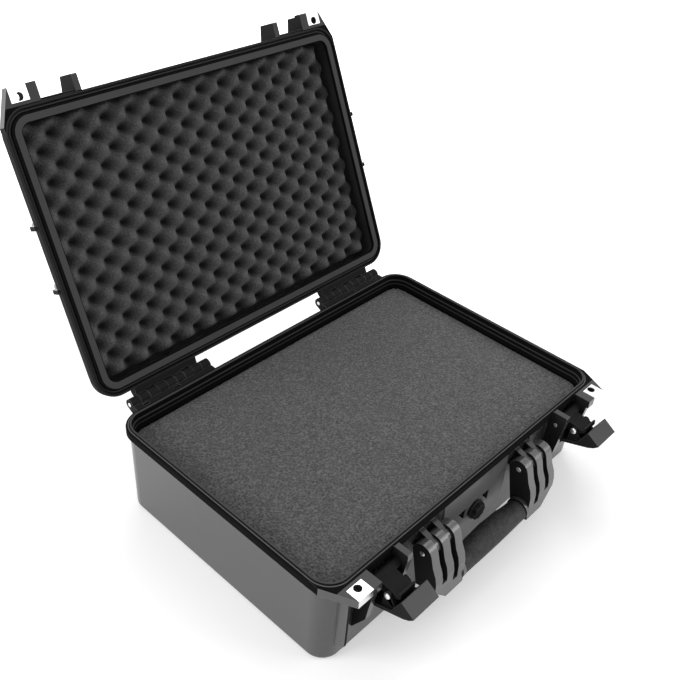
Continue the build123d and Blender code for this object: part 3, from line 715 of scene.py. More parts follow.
# painted shade: the rims, the tub's inner walls, the hollow behind the lid's lip and the eyes' surrounds made
# near black and matt, with painted highlight lines over them
TUB_RIM = Plastic("rim_plastic_tub", BLACK, grey(0.05), 0.8, shine=0.04, patches=TUB_PATCHES)
LID_RIM = Plastic("rim_plastic_lid", BLACK, grey(0.05), 0.8, shine=0.04, patches=LID_PATCHES, drawn=Drawn.LID)
# painted shade: the same plastic made near black and matt where shade falls, on the sides of ribs, lugs,
# levers and handle, on the flanges' outer band, round the eyes, on the hinge knuckles and behind the latches
PAINTED_SHADE = Plastic("matt_black_plastic", grey(0.009), grey(0.16), 0.75, shine=0.12)
LATCH = Plastic("latch_plastic", grey(0.018), grey(0.14), 0.4, grain=0.7, depth=0.04, shine=0.4)
# the hook's own dark plastic, which also paints shade inside the levers
HOOK_AND_LEVER_SHADE = Plastic("hook_plastic", grey(0.012), grey(0.06), 0.6, grain=0.7, depth=0.03, shine=0.08)
# painted highlight: the handle's light edge colour, and its body colour raised, stand for the highlights along
# its front edges
HANDLE = Plastic("handle_plastic", grey(0.065), grey(0.26), 0.32, grain=0.8, shine=1.0)
GRIP = Plastic(
    "grip_rubber", grey(0.034), grey(0.075), 0.6, grain=2.2, depth=0.5, shine=0.25, mottle=1.2, smudge=7.0
)
VALVE = Plastic("valve_plastic", grey(0.014), grey(0.07), 0.38, grain=0.6, depth=0.03)
SEAL = Plastic("seal_rubber", grey(0.006), grey(0.016), 0.45, grain=0.5, depth=0.02)
PLATE = Plastic("plate_satin", grey(0.02), grey(0.12), 0.25, grain=0.5, depth=0.01, shine=0.4)
TUB_FOAM = Foam("tub_foam", grey(0.041), cell=2.4, contrast=0.85)
# painted shade in the pits between the bumps and along the foam's edge
LID_FOAM = Foam("lid_foam", grey(0.068), 1.8, 0.36, relief=(129.1, 143.0), pit_shade=0.07, drawn=Drawn.LID)
PIN = Steel("steel_pin", grey(0.86), 0.3)
# painted shade on the walls of the eyes' bores
SLEEVES = {
    "base": Steel("tub_sleeve_steel", grey(0.95), 0.3, line=0.3, bore=EYE),
    "lid": Steel("lid_sleeve_steel", grey(0.95), 0.3, line=0.3, bore=EYE, drawn=Drawn.LID),
}


class Finishes:
    """Every material of the case, built once and handed out by its finish."""

    def __init__(self, places: Places) -> None:
        """Builds the shared effects; the materials follow when they are asked for."""
        self.effects = Effects(places.lid().inverted())
        self.made: dict[str, Material] = {}

    def get(self, finish: Finish) -> Material:
        """The material of a finish, made when it is first asked for.

        Args:
            finish: the finish.

        Returns:
            Its material.
        """
        if finish.name not in self.made:
            self.made[finish.name] = finish.build(self.effects)
        return self.made[finish.name]


# ---- Places -------------------------------------------------------------------------
def turning(joint: dict, angle: float) -> Matrix:
    """Turn about a joint's axis by an angle in degrees."""
    centre = Matrix.Translation(Vector(joint["pos_m"]))
    return centre @ Matrix.Rotation(radians(angle), 4, Vector(joint["axis"])) @ centre.inverted()


class Places:
    """Where each moving body rests, measured from the place it is drawn in when shut."""

    def __init__(self) -> None:
        """Reads the joints."""
        self.joints = {joint["name"]: joint for joint in frame["joints"]}

    def shut_to_rest(self, joint_name: str) -> Matrix:
        """From a body's shut place to its rest place."""
        joint = self.joints[joint_name]
        return turning(joint, -joint["range_deg"][1])

    def lid(self) -> Matrix:
        """From the shut lid to the open one."""
        return self.shut_to_rest("lid_hinge")

    def lever(self, side: Side) -> Matrix:
        """From a shut latch's lever to the open one."""
        lag = self.shut_to_rest(f"lever_turn_{side.word}")
        return lag @ self.shut_to_rest(f"latch_swing_{side.word}")

    def shut_box(self, node: str, to_rest: Matrix) -> tuple[Vector, Vector]:
        """A node's box in its shut place.

        Args:
            node: the node.
            to_rest: from its shut place to its rest place.

        Returns:
            The lowest and the highest corner.
        """
        back = to_rest.inverted()
        points = [back @ vertex.co for vertex in frame["nodes"][node].data.vertices]
        low = Vector(min(point[axis] for point in points) for axis in range(3))
        high = Vector(max(point[axis] for point in points) for axis in range(3))
        return low, high


# ---- Zones --------------------------------------------------------------------------
@dataclass(frozen=True)
class Zone:
    """A region of the shut case, alike on both sides, in millimetres.

    Args:
        low: nearest to the middle across, furthest to the front, and lowest.
        high: furthest from the middle across, furthest to the back, and highest.
        facing: which way its faces look.
    """

    low: Point = (-FAR, -FAR, -FAR)
    high: Point = (FAR, FAR, FAR)
    facing: Facing = Facing.ANY

    def holds(self, place: Vector, normal: Vector) -> bool:
        """Whether a face belongs to the zone.

        Args:
            place: the face's middle, in millimetres.
            normal: the way it looks.

        Returns:
            Whether it does.
        """
        where = (abs(place.x), place.y, place.z)
        if not all(low < part < high for low, part, high in zip(self.low, where, self.high)):
            return False
        if self.facing is Facing.INWARD:
            return normal.x * place.x + normal.y * place.y < INWARD_PRODUCT
        sideways = abs(normal.x) > SIDEWAYS_LEAN
        return self.facing is Facing.ANY or sideways == (self.facing is Facing.SIDEWAYS)


# side faces, where shade is painted on the levers and the handle
ALL_SIDES = Zone(facing=Facing.SIDEWAYS)
EYE_BORE = Zone((EYE[0] - 5.5, EYE[1] - 6.0, -FAR), (EYE[0] + 5.5, EYE[1] + 6.0, FAR))
# the rim flanges, whose outer band gets painted shade
RIM_FLANGES = Zone((-FAR, FRONT, FLANGE_FOOT), (FAR, FAR, FLANGE_TOP))
# where the tub's rim is painted in shade, with its highlight lines: flange, inner walls and eye
TUB_RIM_ZONES = (
    Zone((-FAR, FRONT, FLANGE_FOOT)),                                           # rim flange
    Zone((-FAR, -156.0, -FAR), (231.0, 156.0, FAR), Facing.INWARD),             # inner walls
    EYE_BORE,
)
# where the lid's rim is painted in shade, with its lines and lighter lip: flange, lip, the hollow behind it
# and eye
LID_RIM_ZONES = (
    Zone((-FAR, -159.1, -FAR), (234.1, 159.1, LID_MOUTH)),                      # flange and lip
    Zone((-FAR, -143.6, -FAR), (218.6, 143.6, 145.0)),                          # hollow behind the lip
    EYE_BORE,
)
# where shade is painted on the sides and hollows of the fittings and on the hinge knuckles
PAINTED_SHADE_ZONES = (
    Zone((-FAR, -FAR, -FAR), (196.0, FRONT, FAR), Facing.SIDEWAYS),             # sides of the ribs in front
    EYE_BORE,
    Zone((-FAR, -FRONT, 85.0), (FAR, FAR, 135.0)),                              # hinge knuckles
    Zone((LATCH_BAY[0], -FAR, LID_MOUTH), (LATCH_BAY[1], -125.0, FAR), Facing.SIDEWAYS),    # lid's lugs
    Zone((LATCH_BAY[0], -164.0, 110.0), (LATCH_BAY[1], FRONT, 130.0), Facing.ENDWISE),      # behind a latch
)


# ---- Making pieces ------------------------------------------------------------------
def show(name: str, mesh: bpy.types.Mesh) -> Piece:
    """Puts a mesh in the scene as a new piece at the origin.

    Args:
        name: the piece's name.
        mesh: its mesh.

    Returns:
        The piece.
    """
    piece = bpy.data.objects.new(name, mesh)
    bpy.context.scene.collection.objects.link(piece)
    return piece


def settled(piece: Piece) -> bpy.types.Mesh:
    """Applies a piece's modifiers.

    Args:
        piece: the piece, which is removed.

    Returns:
        Its finished mesh.
    """
    graph = bpy.context.evaluated_depsgraph_get()
    mesh = bpy.data.meshes.new_from_object(piece.evaluated_get(graph), depsgraph=graph)
    bpy.data.objects.remove(piece)
    return mesh


def smooth(mesh: bpy.types.Mesh, angle: float = SMOOTH_ANGLE) -> None:
    """Shades a mesh smooth, apart from its sharp edges."""
    mesh.polygons.foreach_set("use_smooth", [True] * len(mesh.polygons))
    mesh.set_sharp_from_angle(angle=radians(angle))


def outwards(mesh: bpy.types.Mesh) -> None:
    """Turns the faces of a mesh outwards.

    Args:
        mesh: a closed mesh.
    """
    work = bmesh.new()
    work.from_mesh(mesh)
    bmesh.ops.recalc_face_normals(work, faces=work.faces)
    work.to_mesh(mesh)
    work.free()


def softened(node: str, width: float, name: str, segments: int = 2) -> Piece:
    """A merged copy of a node with its sharp edges rounded.

    Args:
        node: the node to copy.
        width: how far the rounding reaches on each face, in millimetres.
        name: the new piece's name.
        segments: facets in each rounding.

    Returns:
        The new piece.
    """
    work = bmesh.new()
    work.from_mesh(frame["nodes"][node].data)
    bmesh.ops.remove_doubles(work, verts=work.verts, dist=MERGE_DISTANCE)
    bmesh.ops.dissolve_limit(work, angle_limit=radians(FLAT_ANGLE), verts=work.verts, edges=work.edges)
    corners = [list(vertex.co) for vertex in work.verts]
    work.verts.index_update()
    faces = [[vertex.index for vertex in face.verts] for face in work.faces]
    work.free()
    mesh = bpy.data.meshes.new(name)
    mesh.from_pydata(corners, [], faces)
    piece = show(name, mesh)
    bevel = piece.modifiers.new("edges", "BEVEL")
    bevel.width = width * MM
    bevel.segments = segments
    bevel.limit_method = "ANGLE"
    bevel.angle_limit = radians(BEVEL_ANGLE)
    bevel.miter_outer = "MITER_ARC"
    rounded = settled(piece)
    smooth(rounded)
    piece = show(name, rounded)
    piece.modifiers.new("normals", "WEIGHTED_NORMAL").keep_sharp = True
    finished = settled(piece)
    finished.name = name
    return show(name, finished)


def dress(piece: Piece, material: Material) -> None:
    """Gives a piece one material."""
    piece.data.materials.clear()
    piece.data.materials.append(material)


def part_finish(piece: Piece, material: Material, to_shut: Matrix, *zones: Zone) -> None:
    """Gives the faces inside any of some zones another material.

    Args:
        piece: the piece, already dressed.
        material: the further material.
        to_shut: from the piece's place to its shut one.
        zones: where that material is.
    """
    if material.name not in piece.data.materials:
        piece.data.materials.append(material)
    index = piece.data.materials.find(material.name)
    turn = to_shut.to_3x3()
    for face in piece.data.polygons:
        middle = to_shut @ face.center / MM
        if any(zone.holds(middle, turn @ face.normal) for zone in zones):
            face.material_index = index


@dataclass(frozen=True)
class Placing:
    """What a finished piece belongs to.

    Args:
        body: the body that it rides on.
        slot: its material slot; not used.
        nodes: the nodes that it stands for.
    """

    body: str
    slot: str
    nodes: tuple[str, ...] = ()


def place_piece(piece: Piece, material: Material, placing: Placing) -> None:
    """Dresses a piece, hangs it on its body, hides the nodes that it stands for, and reports it.

    Args:
        piece: the finished piece.
        material: what it is made of.
        placing: what it belongs to.
    """
    dress(piece, material)
    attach(piece, placing.body)
    if placing.nodes:
        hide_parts(*placing.nodes)
    log.info("%s on %s, %d faces", piece.name, placing.body, len(piece.data.polygons))


def grown(tree: Tree, name: str, values: dict[str, object], move: Matrix) -> Piece:
    """A piece grown by a geometry tree.

    Args:
        tree: the geometry tree.
        name: the piece's name.
        values: the tree's inputs, by name.
        move: where the tree's own frame stands.

    Returns:
        The piece, a plain mesh at the origin.
    """
    piece = show(name, bpy.data.meshes.new(name + "_seed"))
    modifier = piece.modifiers.new("grow", "NODES")
    modifier.node_group = tree
    for item in tree.interface.items_tree:
        if item.in_out == "INPUT" and item.name in values:
            modifier[item.identifier] = values[item.name]
    mesh = settled(piece)
    mesh.name = name
    mesh.transform(move)
    return show(name, mesh)


# ---- Geometry trees -----------------------------------------------------------------
def finish_tree(wires: Wires, shape: Socket, material: Socket) -> Tree:
    """Ends a geometry tree: instances made real and the material set.

    Args:
        wires: the tree's wires.
        shape: what it grows.
        material: its material input.

    Returns:
        The tree.
    """
    real = wires.node("GeometryNodeRealizeInstances", {0: shape})
    dressed = wires.node("GeometryNodeSetMaterial", {"Geometry": real.outputs[0], "Material": material})
    return close_group(wires, {"Geometry": dressed.outputs[0]})


def make_foam_tree() -> Tree:
    """Foam block with rounded corners and edges, its top flat or in egg-crate bumps.

    Returns:
        The tree. Its bumps rise and fall with the product of two cosines.
    """
    wires, given = new_group(
        "GeometryNodeTree",
        "foam_block",
        {
            "Width": 0.4, "Depth": 0.3, "Thickness": 0.03, "Corner": 0.015, "Edge": 0.003,
            "Columns": "NodeSocketInt", "Rows": "NodeSocketInt",
            "Bump": 0.0, "Pitch X": 0.0166, "Pitch Y": 0.0166, "Phase X": 0.0, "Phase Y": 0.0,
            "Breadth": 0.8, "Waviness": 0.0003, "Wave Size": 0.02, "Material": "NodeSocketMaterial",
        },
        ["Geometry"],
    )
    size = wires.node("ShaderNodeCombineXYZ", {0: given["Width"], 1: given["Depth"], 2: given["Thickness"]})
    counts = {"Vertices X": given["Columns"], "Vertices Y": given["Rows"], "Vertices Z": 2}
    block = wires.node("GeometryNodeMeshCube", {"Size": size.outputs[0]} | counts).outputs["Mesh"]
    place = wires.node("GeometryNodeInputPosition").outputs[0]
    parts = wires.node("ShaderNodeSeparateXYZ", {0: place})
    radius = given["Corner"]
    signs, straights, overs = [], [], []
    for axis, extent in (("X", given["Width"]), ("Y", given["Depth"])):
        distance = wires.math("ABSOLUTE", parts.outputs[axis])
        limit = wires.math("SUBTRACT", wires.math("MULTIPLY", extent, 0.5), radius)
        signs.append(wires.math("SIGN", parts.outputs[axis]))
        straights.append(wires.math("MINIMUM", distance, limit))
        overs.append(wires.math("MAXIMUM", wires.math("SUBTRACT", distance, limit), 0.0))
    square = wires.math("ADD", *(wires.math("MULTIPLY", over, over) for over in overs))
    reach = wires.math("MAXIMUM", wires.math("SQRT", square), 1e-6)
    shrink = wires.math("MINIMUM", wires.math("DIVIDE", radius, reach), 1.0)
    flat = [
        wires.math("MULTIPLY", sign, wires.math("MULTIPLY_ADD", over, shrink, straight))
        for sign, over, straight in zip(signs, overs, straights)
    ]
    from_edge = wires.math("SUBTRACT", radius, wires.math("MINIMUM", reach, radius))
    near = wires.math("SUBTRACT", 1.0, wires.math("DIVIDE", from_edge, given["Edge"]), clamp=True)
    arc = wires.math("SQRT", wires.math("SUBTRACT", 1.0, wires.math("MULTIPLY", near, near)))
    drop = wires.math("MULTIPLY", wires.math("SUBTRACT", 1.0, arc), given["Edge"])
    waves = []
    for way, axis in zip(flat, "XY"):
        past = wires.math("SUBTRACT", way, given[f"Phase {axis}"])
        turn = wires.math("DIVIDE", past, given[f"Pitch {axis}"])
        waves.append(wires.math("COSINE", wires.math("MULTIPLY", turn, pi)))
    peak = wires.math("MULTIPLY_ADD", wires.math("MULTIPLY", *waves), 0.5, 0.5)
    shaped = wires.math("POWER", wires.math("MAXIMUM", peak, 0.0), given["Breadth"])
    sunk = wires.math("MULTIPLY", wires.math("SUBTRACT", shaped, 1.0), given["Bump"])
    rough = wires.noise(place, wires.math("DIVIDE", 1.0, given["Wave Size"]), 3.0)
    uneven = wires.math("MULTIPLY", wires.math("SUBTRACT", rough, 1.0), given["Waviness"])
    on_top = wires.math("GREATER_THAN", parts.outputs["Z"], 0.0)
    change = wires.math("SUBTRACT", wires.math("ADD", sunk, uneven), drop)
    height = wires.math("MULTIPLY_ADD", change, on_top, parts.outputs["Z"])
    position = wires.node("ShaderNodeCombineXYZ", {0: flat[0], 1: flat[1], 2: height}).outputs[0]
    moved = wires.node("GeometryNodeSetPosition", {"Geometry": block, "Position": position})
    return finish_tree(wires, moved.outputs[0], given["Material"])


def make_ring_tree() -> Tree:
    """Band swept round a rectangle with rounded corners, its own section rounded.

    Returns:
        The tree.
    """
    wires, given = new_group(
        "GeometryNodeTree",
        "swept_ring",
        {
            "Width": 0.4, "Depth": 0.3, "Corner": 0.02, "Band": 0.003, "Height": 0.003,
            "Rounding": 0.001, "Material": "NodeSocketMaterial",
        },
        ["Geometry"],
    )
    curves = []
    for width, height, radius, facets in (("Width", "Depth", "Corner", 12), ("Band", "Height", "Rounding", 4)):
        sides = {"Width": given[width], "Height": given[height]}
        sharp = wires.node("GeometryNodeCurvePrimitiveQuadrilateral", sides).outputs[0]
        corners = {"Curve": sharp, "Count": facets, "Radius": given[radius]}
        curves.append(wires.node("GeometryNodeFilletCurve", corners, mode="POLY").outputs[0])
    swept = wires.node("GeometryNodeCurveToMesh", {"Curve": curves[0], "Profile Curve": curves[1]})
    return finish_tree(wires, swept.outputs[0], given["Material"])


def make_ridge_tree() -> Tree:
    """Row of round-ended ridges along Y, each lying along X.

    Returns:
        The tree.
    """
    wires, given = new_group(
        "GeometryNodeTree",
        "grip_ridges",
        {
            "Count": "NodeSocketInt", "Pitch": 0.003, "Length": 0.03, "Width": 0.0016, "Rise": 0.0008,
            "Material": "NodeSocketMaterial",
        },
        ["Geometry"],
    )
    step = wires.node("ShaderNodeCombineXYZ", {1: given["Pitch"]}).outputs[0]
    row = wires.node("GeometryNodeMeshLine", {"Count": given["Count"], "Offset": step}, mode="OFFSET")
    ball = wires.node("GeometryNodeMeshUVSphere", {"Segments": 12, "Rings": 8, "Radius": 0.5})
    ball_place = wires.node("ShaderNodeSeparateXYZ", {0: wires.node("GeometryNodeInputPosition").outputs[0]})
    half = wires.math("MULTIPLY", wires.math("SUBTRACT", given["Length"], given["Width"]), 0.5)
    side = wires.math("SIGN", ball_place.outputs[0])
    shift = wires.math("MULTIPLY", side, half)
    along = wires.math("MULTIPLY_ADD", ball_place.outputs[0], given["Width"], shift)
    across = wires.math("MULTIPLY", ball_place.outputs[1], given["Width"])
    up = wires.math("MULTIPLY", ball_place.outputs[2], wires.math("MULTIPLY", given["Rise"], 2.0))
    shape = wires.node("ShaderNodeCombineXYZ", {0: along, 1: across, 2: up}).outputs[0]
    ridge = wires.node("GeometryNodeSetPosition", {"Geometry": ball.outputs[0], "Position": shape})
    spread = {"Points": row.outputs[0], "Instance": ridge.outputs[0]}
    placed = wires.node("GeometryNodeInstanceOnPoints", spread)
    return finish_tree(wires, placed.outputs[0], given["Material"])


# ---- Sub-assemblies -----------------------------------------------------------------
@dataclass
class Shells:
    """Tub and lid shells with their edges rounded.

    Args:
        edge: rounding of the sharp edges, in millimetres.
    """

    edge: float = 0.45

    def build(self, finishes: Finishes, places: Places) -> None:
        """Makes both shells in one plastic, with near-black painted shade on the rims, in the mouths and on
        the shaded sides of the fittings, and painted highlight lines on the rims.

        Args:
            finishes: the materials.
            places: where the lid rests.
        """
        jobs = (
            ("base_shell", "base", TUB_RIM, Matrix(), TUB_RIM_ZONES),
            ("lid_shell", "lid", LID_RIM, places.lid().inverted(), LID_RIM_ZONES),
        )
        for node, body, rim, to_shut, zones in jobs:
            piece = softened(node, self.edge, node + "_moulding")
            place_piece(piece, finishes.get(SHELL), Placing(body, "shell_plastic", (node,)))
            # painted shade, in order: the flanges' outer band, then the rims with their painted highlight
            # lines, then the sides and hollows of the fittings
            for finish, regions in ((PAINTED_SHADE, (RIM_FLANGES,)), (rim, zones), (PAINTED_SHADE, PAINTED_SHADE_ZONES)):
                part_finish(piece, finishes.get(finish), to_shut, *regions)


@dataclass
class FoamSet:
    """Foam of the tub and of the lid.

    Args:
        step: spacing of the lid foam's surface points, in millimetres.
        tub_steps: that spacing on each of the tub's nodes.
        tub_corner: corner radius of the tub foam seen from above.
        tub_edge: rounding of the tub foam's cut edge.
        tub_wave: depth and size of the unevenness of its faces.
        tub_fill: how full the tub foam is; not used.
        lid_corner: corner radius of the lid foam.
        lid_edge: rounding of its edge.
        lid_wave: depth and size of the unevenness of its bumps.
        lid_fill: how full the lid foam is; not used.
        bump: height of the lid foam's bumps.
        breadth: power that makes the bumps broad, below one, or pointed, above one.
        pitch: from a peak to the next pit, across and down the lid.
        phase: a peak's place, from the middle of the lid.
        tree: the geometry tree that grows a block.
    """

    step: float = 2.1
    tub_steps: tuple[tuple[str, float], ...] = (("base_foam_block", 4.2), ("base_foam_pad", 10.5))
    tub_corner: float = 17.6
    tub_edge: float = 2.2
    tub_wave: Span = (0.7, 60.0)
    tub_fill: float = 0.9
    lid_corner: float = 9.8
    lid_edge: float = 2.5
    lid_wave: Span = (1.6, 12.0)
    lid_fill: float = 0.8
    bump: float = 20.0
    breadth: float = 0.6
    pitch: Span = (16.6, 16.35)
    phase: Span = (4.9, -3.8)
    tree: Tree = field(default_factory=make_foam_tree)

    def block(self, name: str, low: Vector, high: Vector, step: float, extra: dict[str, object]) -> Piece:
        """One block of foam that fills a box.

        Args:
            name: the piece's name.
            low: lowest corner of the box.
            high: highest corner of the box.
            step: spacing of the surface points, in millimetres.
            extra: further inputs of the foam tree.

        Returns:
            The block, where the box stands.
        """
        size = high - low
        values = dict(zip(("Width", "Depth", "Thickness"), size))
        values |= {"Columns": round(size.x / (step * MM)), "Rows": round(size.y / (step * MM))}
        piece = grown(self.tree, name, values | extra, Matrix.Translation((low + high) / 2))
        smooth(piece.data, angle=50.0)
        return piece

    def inputs(self, corner: float, edge: float, wave: Span, finish: Material) -> dict[str, object]:
        """The tree's inputs that both foams set, from sizes in millimetres."""
        sizes = {"Corner": corner, "Edge": edge, "Waviness": wave[0], "Wave Size": wave[1]}
        return {name: size * MM for name, size in sizes.items()} | {"Material": finish}

    def build(self, finishes: Finishes, places: Places) -> None:
        """Makes and dresses all foam.

        Args:
            finishes: the materials.
            places: where the lid rests.
        """
        finish = finishes.get(TUB_FOAM)
        plain = self.inputs(self.tub_corner, self.tub_edge, self.tub_wave, finish)
        for node, step in self.tub_steps:
            piece = self.block(node + "_foam", *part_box(node), step, plain)
            place_piece(piece, finish, Placing("base", "tub_foam", (node,)))
        self.build_lid(finishes.get(LID_FOAM), places)

    def build_lid(self, finish: Material, places: Places) -> None:
        """Makes the egg-crate foam, its bumps towards the tub.

        Args:
            finish: what it is made of.
            places: where the lid rests.
        """
        to_rest = places.lid()
        low, high = places.shut_box("lid_foam", to_rest)
        half = (high - low) / 2
        crate = self.inputs(self.lid_corner, self.lid_edge, self.lid_wave, finish)
        crate |= {"Bump": self.bump * MM, "Breadth": self.breadth}
        for axis, pitch, phase in zip("XY", self.pitch, self.phase):
            crate |= {f"Pitch {axis}": pitch * MM, f"Phase {axis}": phase * MM}
        piece = self.block("lid_foam_eggcrate", -half, half, self.step, crate)
        flipped = Matrix.Rotation(pi, 4, "X")
        piece.data.transform(to_rest @ Matrix.Translation((low + high) / 2) @ flipped)
        place_piece(piece, finish, Placing("lid", "lid_foam", ("lid_foam",)))


@dataclass
class LidTrim:
    """Seal in the lid's groove and the blank plate on its face.

    Args:
        seal_band: width of the seal, in millimetres.
        seal_corner: corner radius of the seal's path.
        seal_rounding: rounding of its section.
        plate_edge: rounding of the plate's edges.
        bezel: width of the raised line round the plate.
        bezel_inset: that line's middle inside the plate's edge.
        bezel_corner: corner radius of that line.
        bezel_rise: how far it stands out of the plate.
        bezel_root: how far it reaches into the plate.
        bezel_rounding: rounding of its section.
        tree: the geometry tree that sweeps a band.
    """

    seal_band: float = 3.5
    seal_corner: float = 22.7
    seal_rounding: float = 1.3
    plate_edge: float = 0.35
    bezel: float = 1.4
    bezel_inset: float = 1.6
    bezel_corner: float = 6.1
    bezel_rise: float = 0.35
    bezel_root: float = 0.2
    bezel_rounding: float = 0.2
    tree: Tree = field(default_factory=make_ring_tree)

    def ring(
        self, name: str, box: tuple[Vector, Vector], inset: float, sizes: dict[str, float], finish: Material
    ) -> Piece:
        """A band just inside the edge of a box.

        Args:
            name: the piece's name.
            box: the lowest and highest corner of the box.
            inset: the band's middle inside the box's edge, in millimetres.
            sizes: the tree's inputs for the band's own sizes, in millimetres.
            finish: what it is made of.

        Returns:
            The band, in the box's own place.
        """
        low, high = box
        width, depth, height = high - low
        values = {"Width": width - 2 * inset * MM, "Depth": depth - 2 * inset * MM, "Height": height}
        values |= {label: size * MM for label, size in sizes.items()} | {"Material": finish}
        piece = grown(self.tree, name, values, Matrix.Translation((low + high) / 2))
        outwards(piece.data)
        smooth(piece.data, angle=45.0)
        return piece

    def build(self, finishes: Finishes, places: Places) -> None:
        """Makes and dresses the seal, the plate and its bezel.

        Args:
            finishes: the materials.
            places: where the lid rests.
        """
        to_rest = places.lid()
        rubber, satin = finishes.get(SEAL), finishes.get(PLATE)
        groove = places.shut_box("lid_seal", to_rest)
        sizes = {"Band": self.seal_band, "Corner": self.seal_corner, "Rounding": self.seal_rounding}
        seal = self.ring("lid_seal_cord", groove, self.seal_band / 2, sizes, rubber)
        seal.data.transform(to_rest)
        place_piece(seal, rubber, Placing("lid", "seal_rubber", ("lid_seal",)))
        plate = softened("name_plate", self.plate_edge, "blank_plate")
        place_piece(plate, satin, Placing("lid", "plate", ("name_plate",)))
        low, high = places.shut_box("name_plate", to_rest)
        low.z = high.z - self.bezel_root * MM
        high.z += self.bezel_rise * MM
        sizes = {"Band": self.bezel, "Corner": self.bezel_corner, "Rounding": self.bezel_rounding}
        bezel = self.ring("plate_bezel", (low, high), self.bezel_inset, sizes, satin)
        bezel.data.transform(to_rest)
        place_piece(bezel, satin, Placing("lid", "plate"))


def headed_pin(name: str, node: str, rise: float, head: float | None = None) -> Piece:
    """A pin along X where a node's pin is, with a domed head at each end.

    Args:
        name: the piece's name.
        node: the node whose pin it stands for.
        rise: how far the heads stand out of the pin's ends, in millimetres.
        head: radius of the heads, in millimetres; none for heads as wide as the pin.

    Returns:
        The pin.
    """
    low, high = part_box(node)
    radius = (high.y - low.y) / 2
    half = (high.x - low.x) / 2
    widest = radius * FLUSH if head is None else head * MM
    turns = [pi / 2 * part / HEAD_FACETS for part in range(HEAD_FACETS + 1)]
    profile = [(half + rise * MM * cos(turn), widest * sin(turn)) for turn in turns]
    profile += [(half, widest), (half, radius)]
    profile += [(-along, across) for along, across in reversed(profile)]
    return lathe(name, profile, (low + high) / 2, PIN_FACETS)


def lathe(name: str, profile: list[Span], middle: Vector, steps: int) -> Piece:
    """A closed round piece along X.

    Args:
        name: the piece's name.
        profile: (along, radius) of each ring, the first and last at radius nought.
        middle: the middle of its axis.
        steps: facets round the axis.

    Returns:
        The piece.
    """
    points = [middle + Vector((profile[0][0], 0, 0)), middle + Vector((profile[-1][0], 0, 0))]
    rings = []
    for along, radius in profile[1:-1]:
        rings.append(range(len(points), len(points) + steps))
        for step in range(steps):
            angle = 2 * pi * step / steps
            points.append(middle + Vector((along, radius * cos(angle), radius * sin(angle))))
    faces = []
    for step in range(steps):
        after = (step + 1) % steps
        faces.append((0, rings[0][step], rings[0][after]))
        faces.append((1, rings[-1][after], rings[-1][step]))
        for near, far in zip(rings, rings[1:]):
            faces.append((near[step], far[step], far[after], near[after]))
    mesh = bpy.data.meshes.new(name)
    mesh.from_pydata(points, [], faces)
    outwards(mesh)
    smooth(mesh, angle=40.0)
    return show(name, mesh)


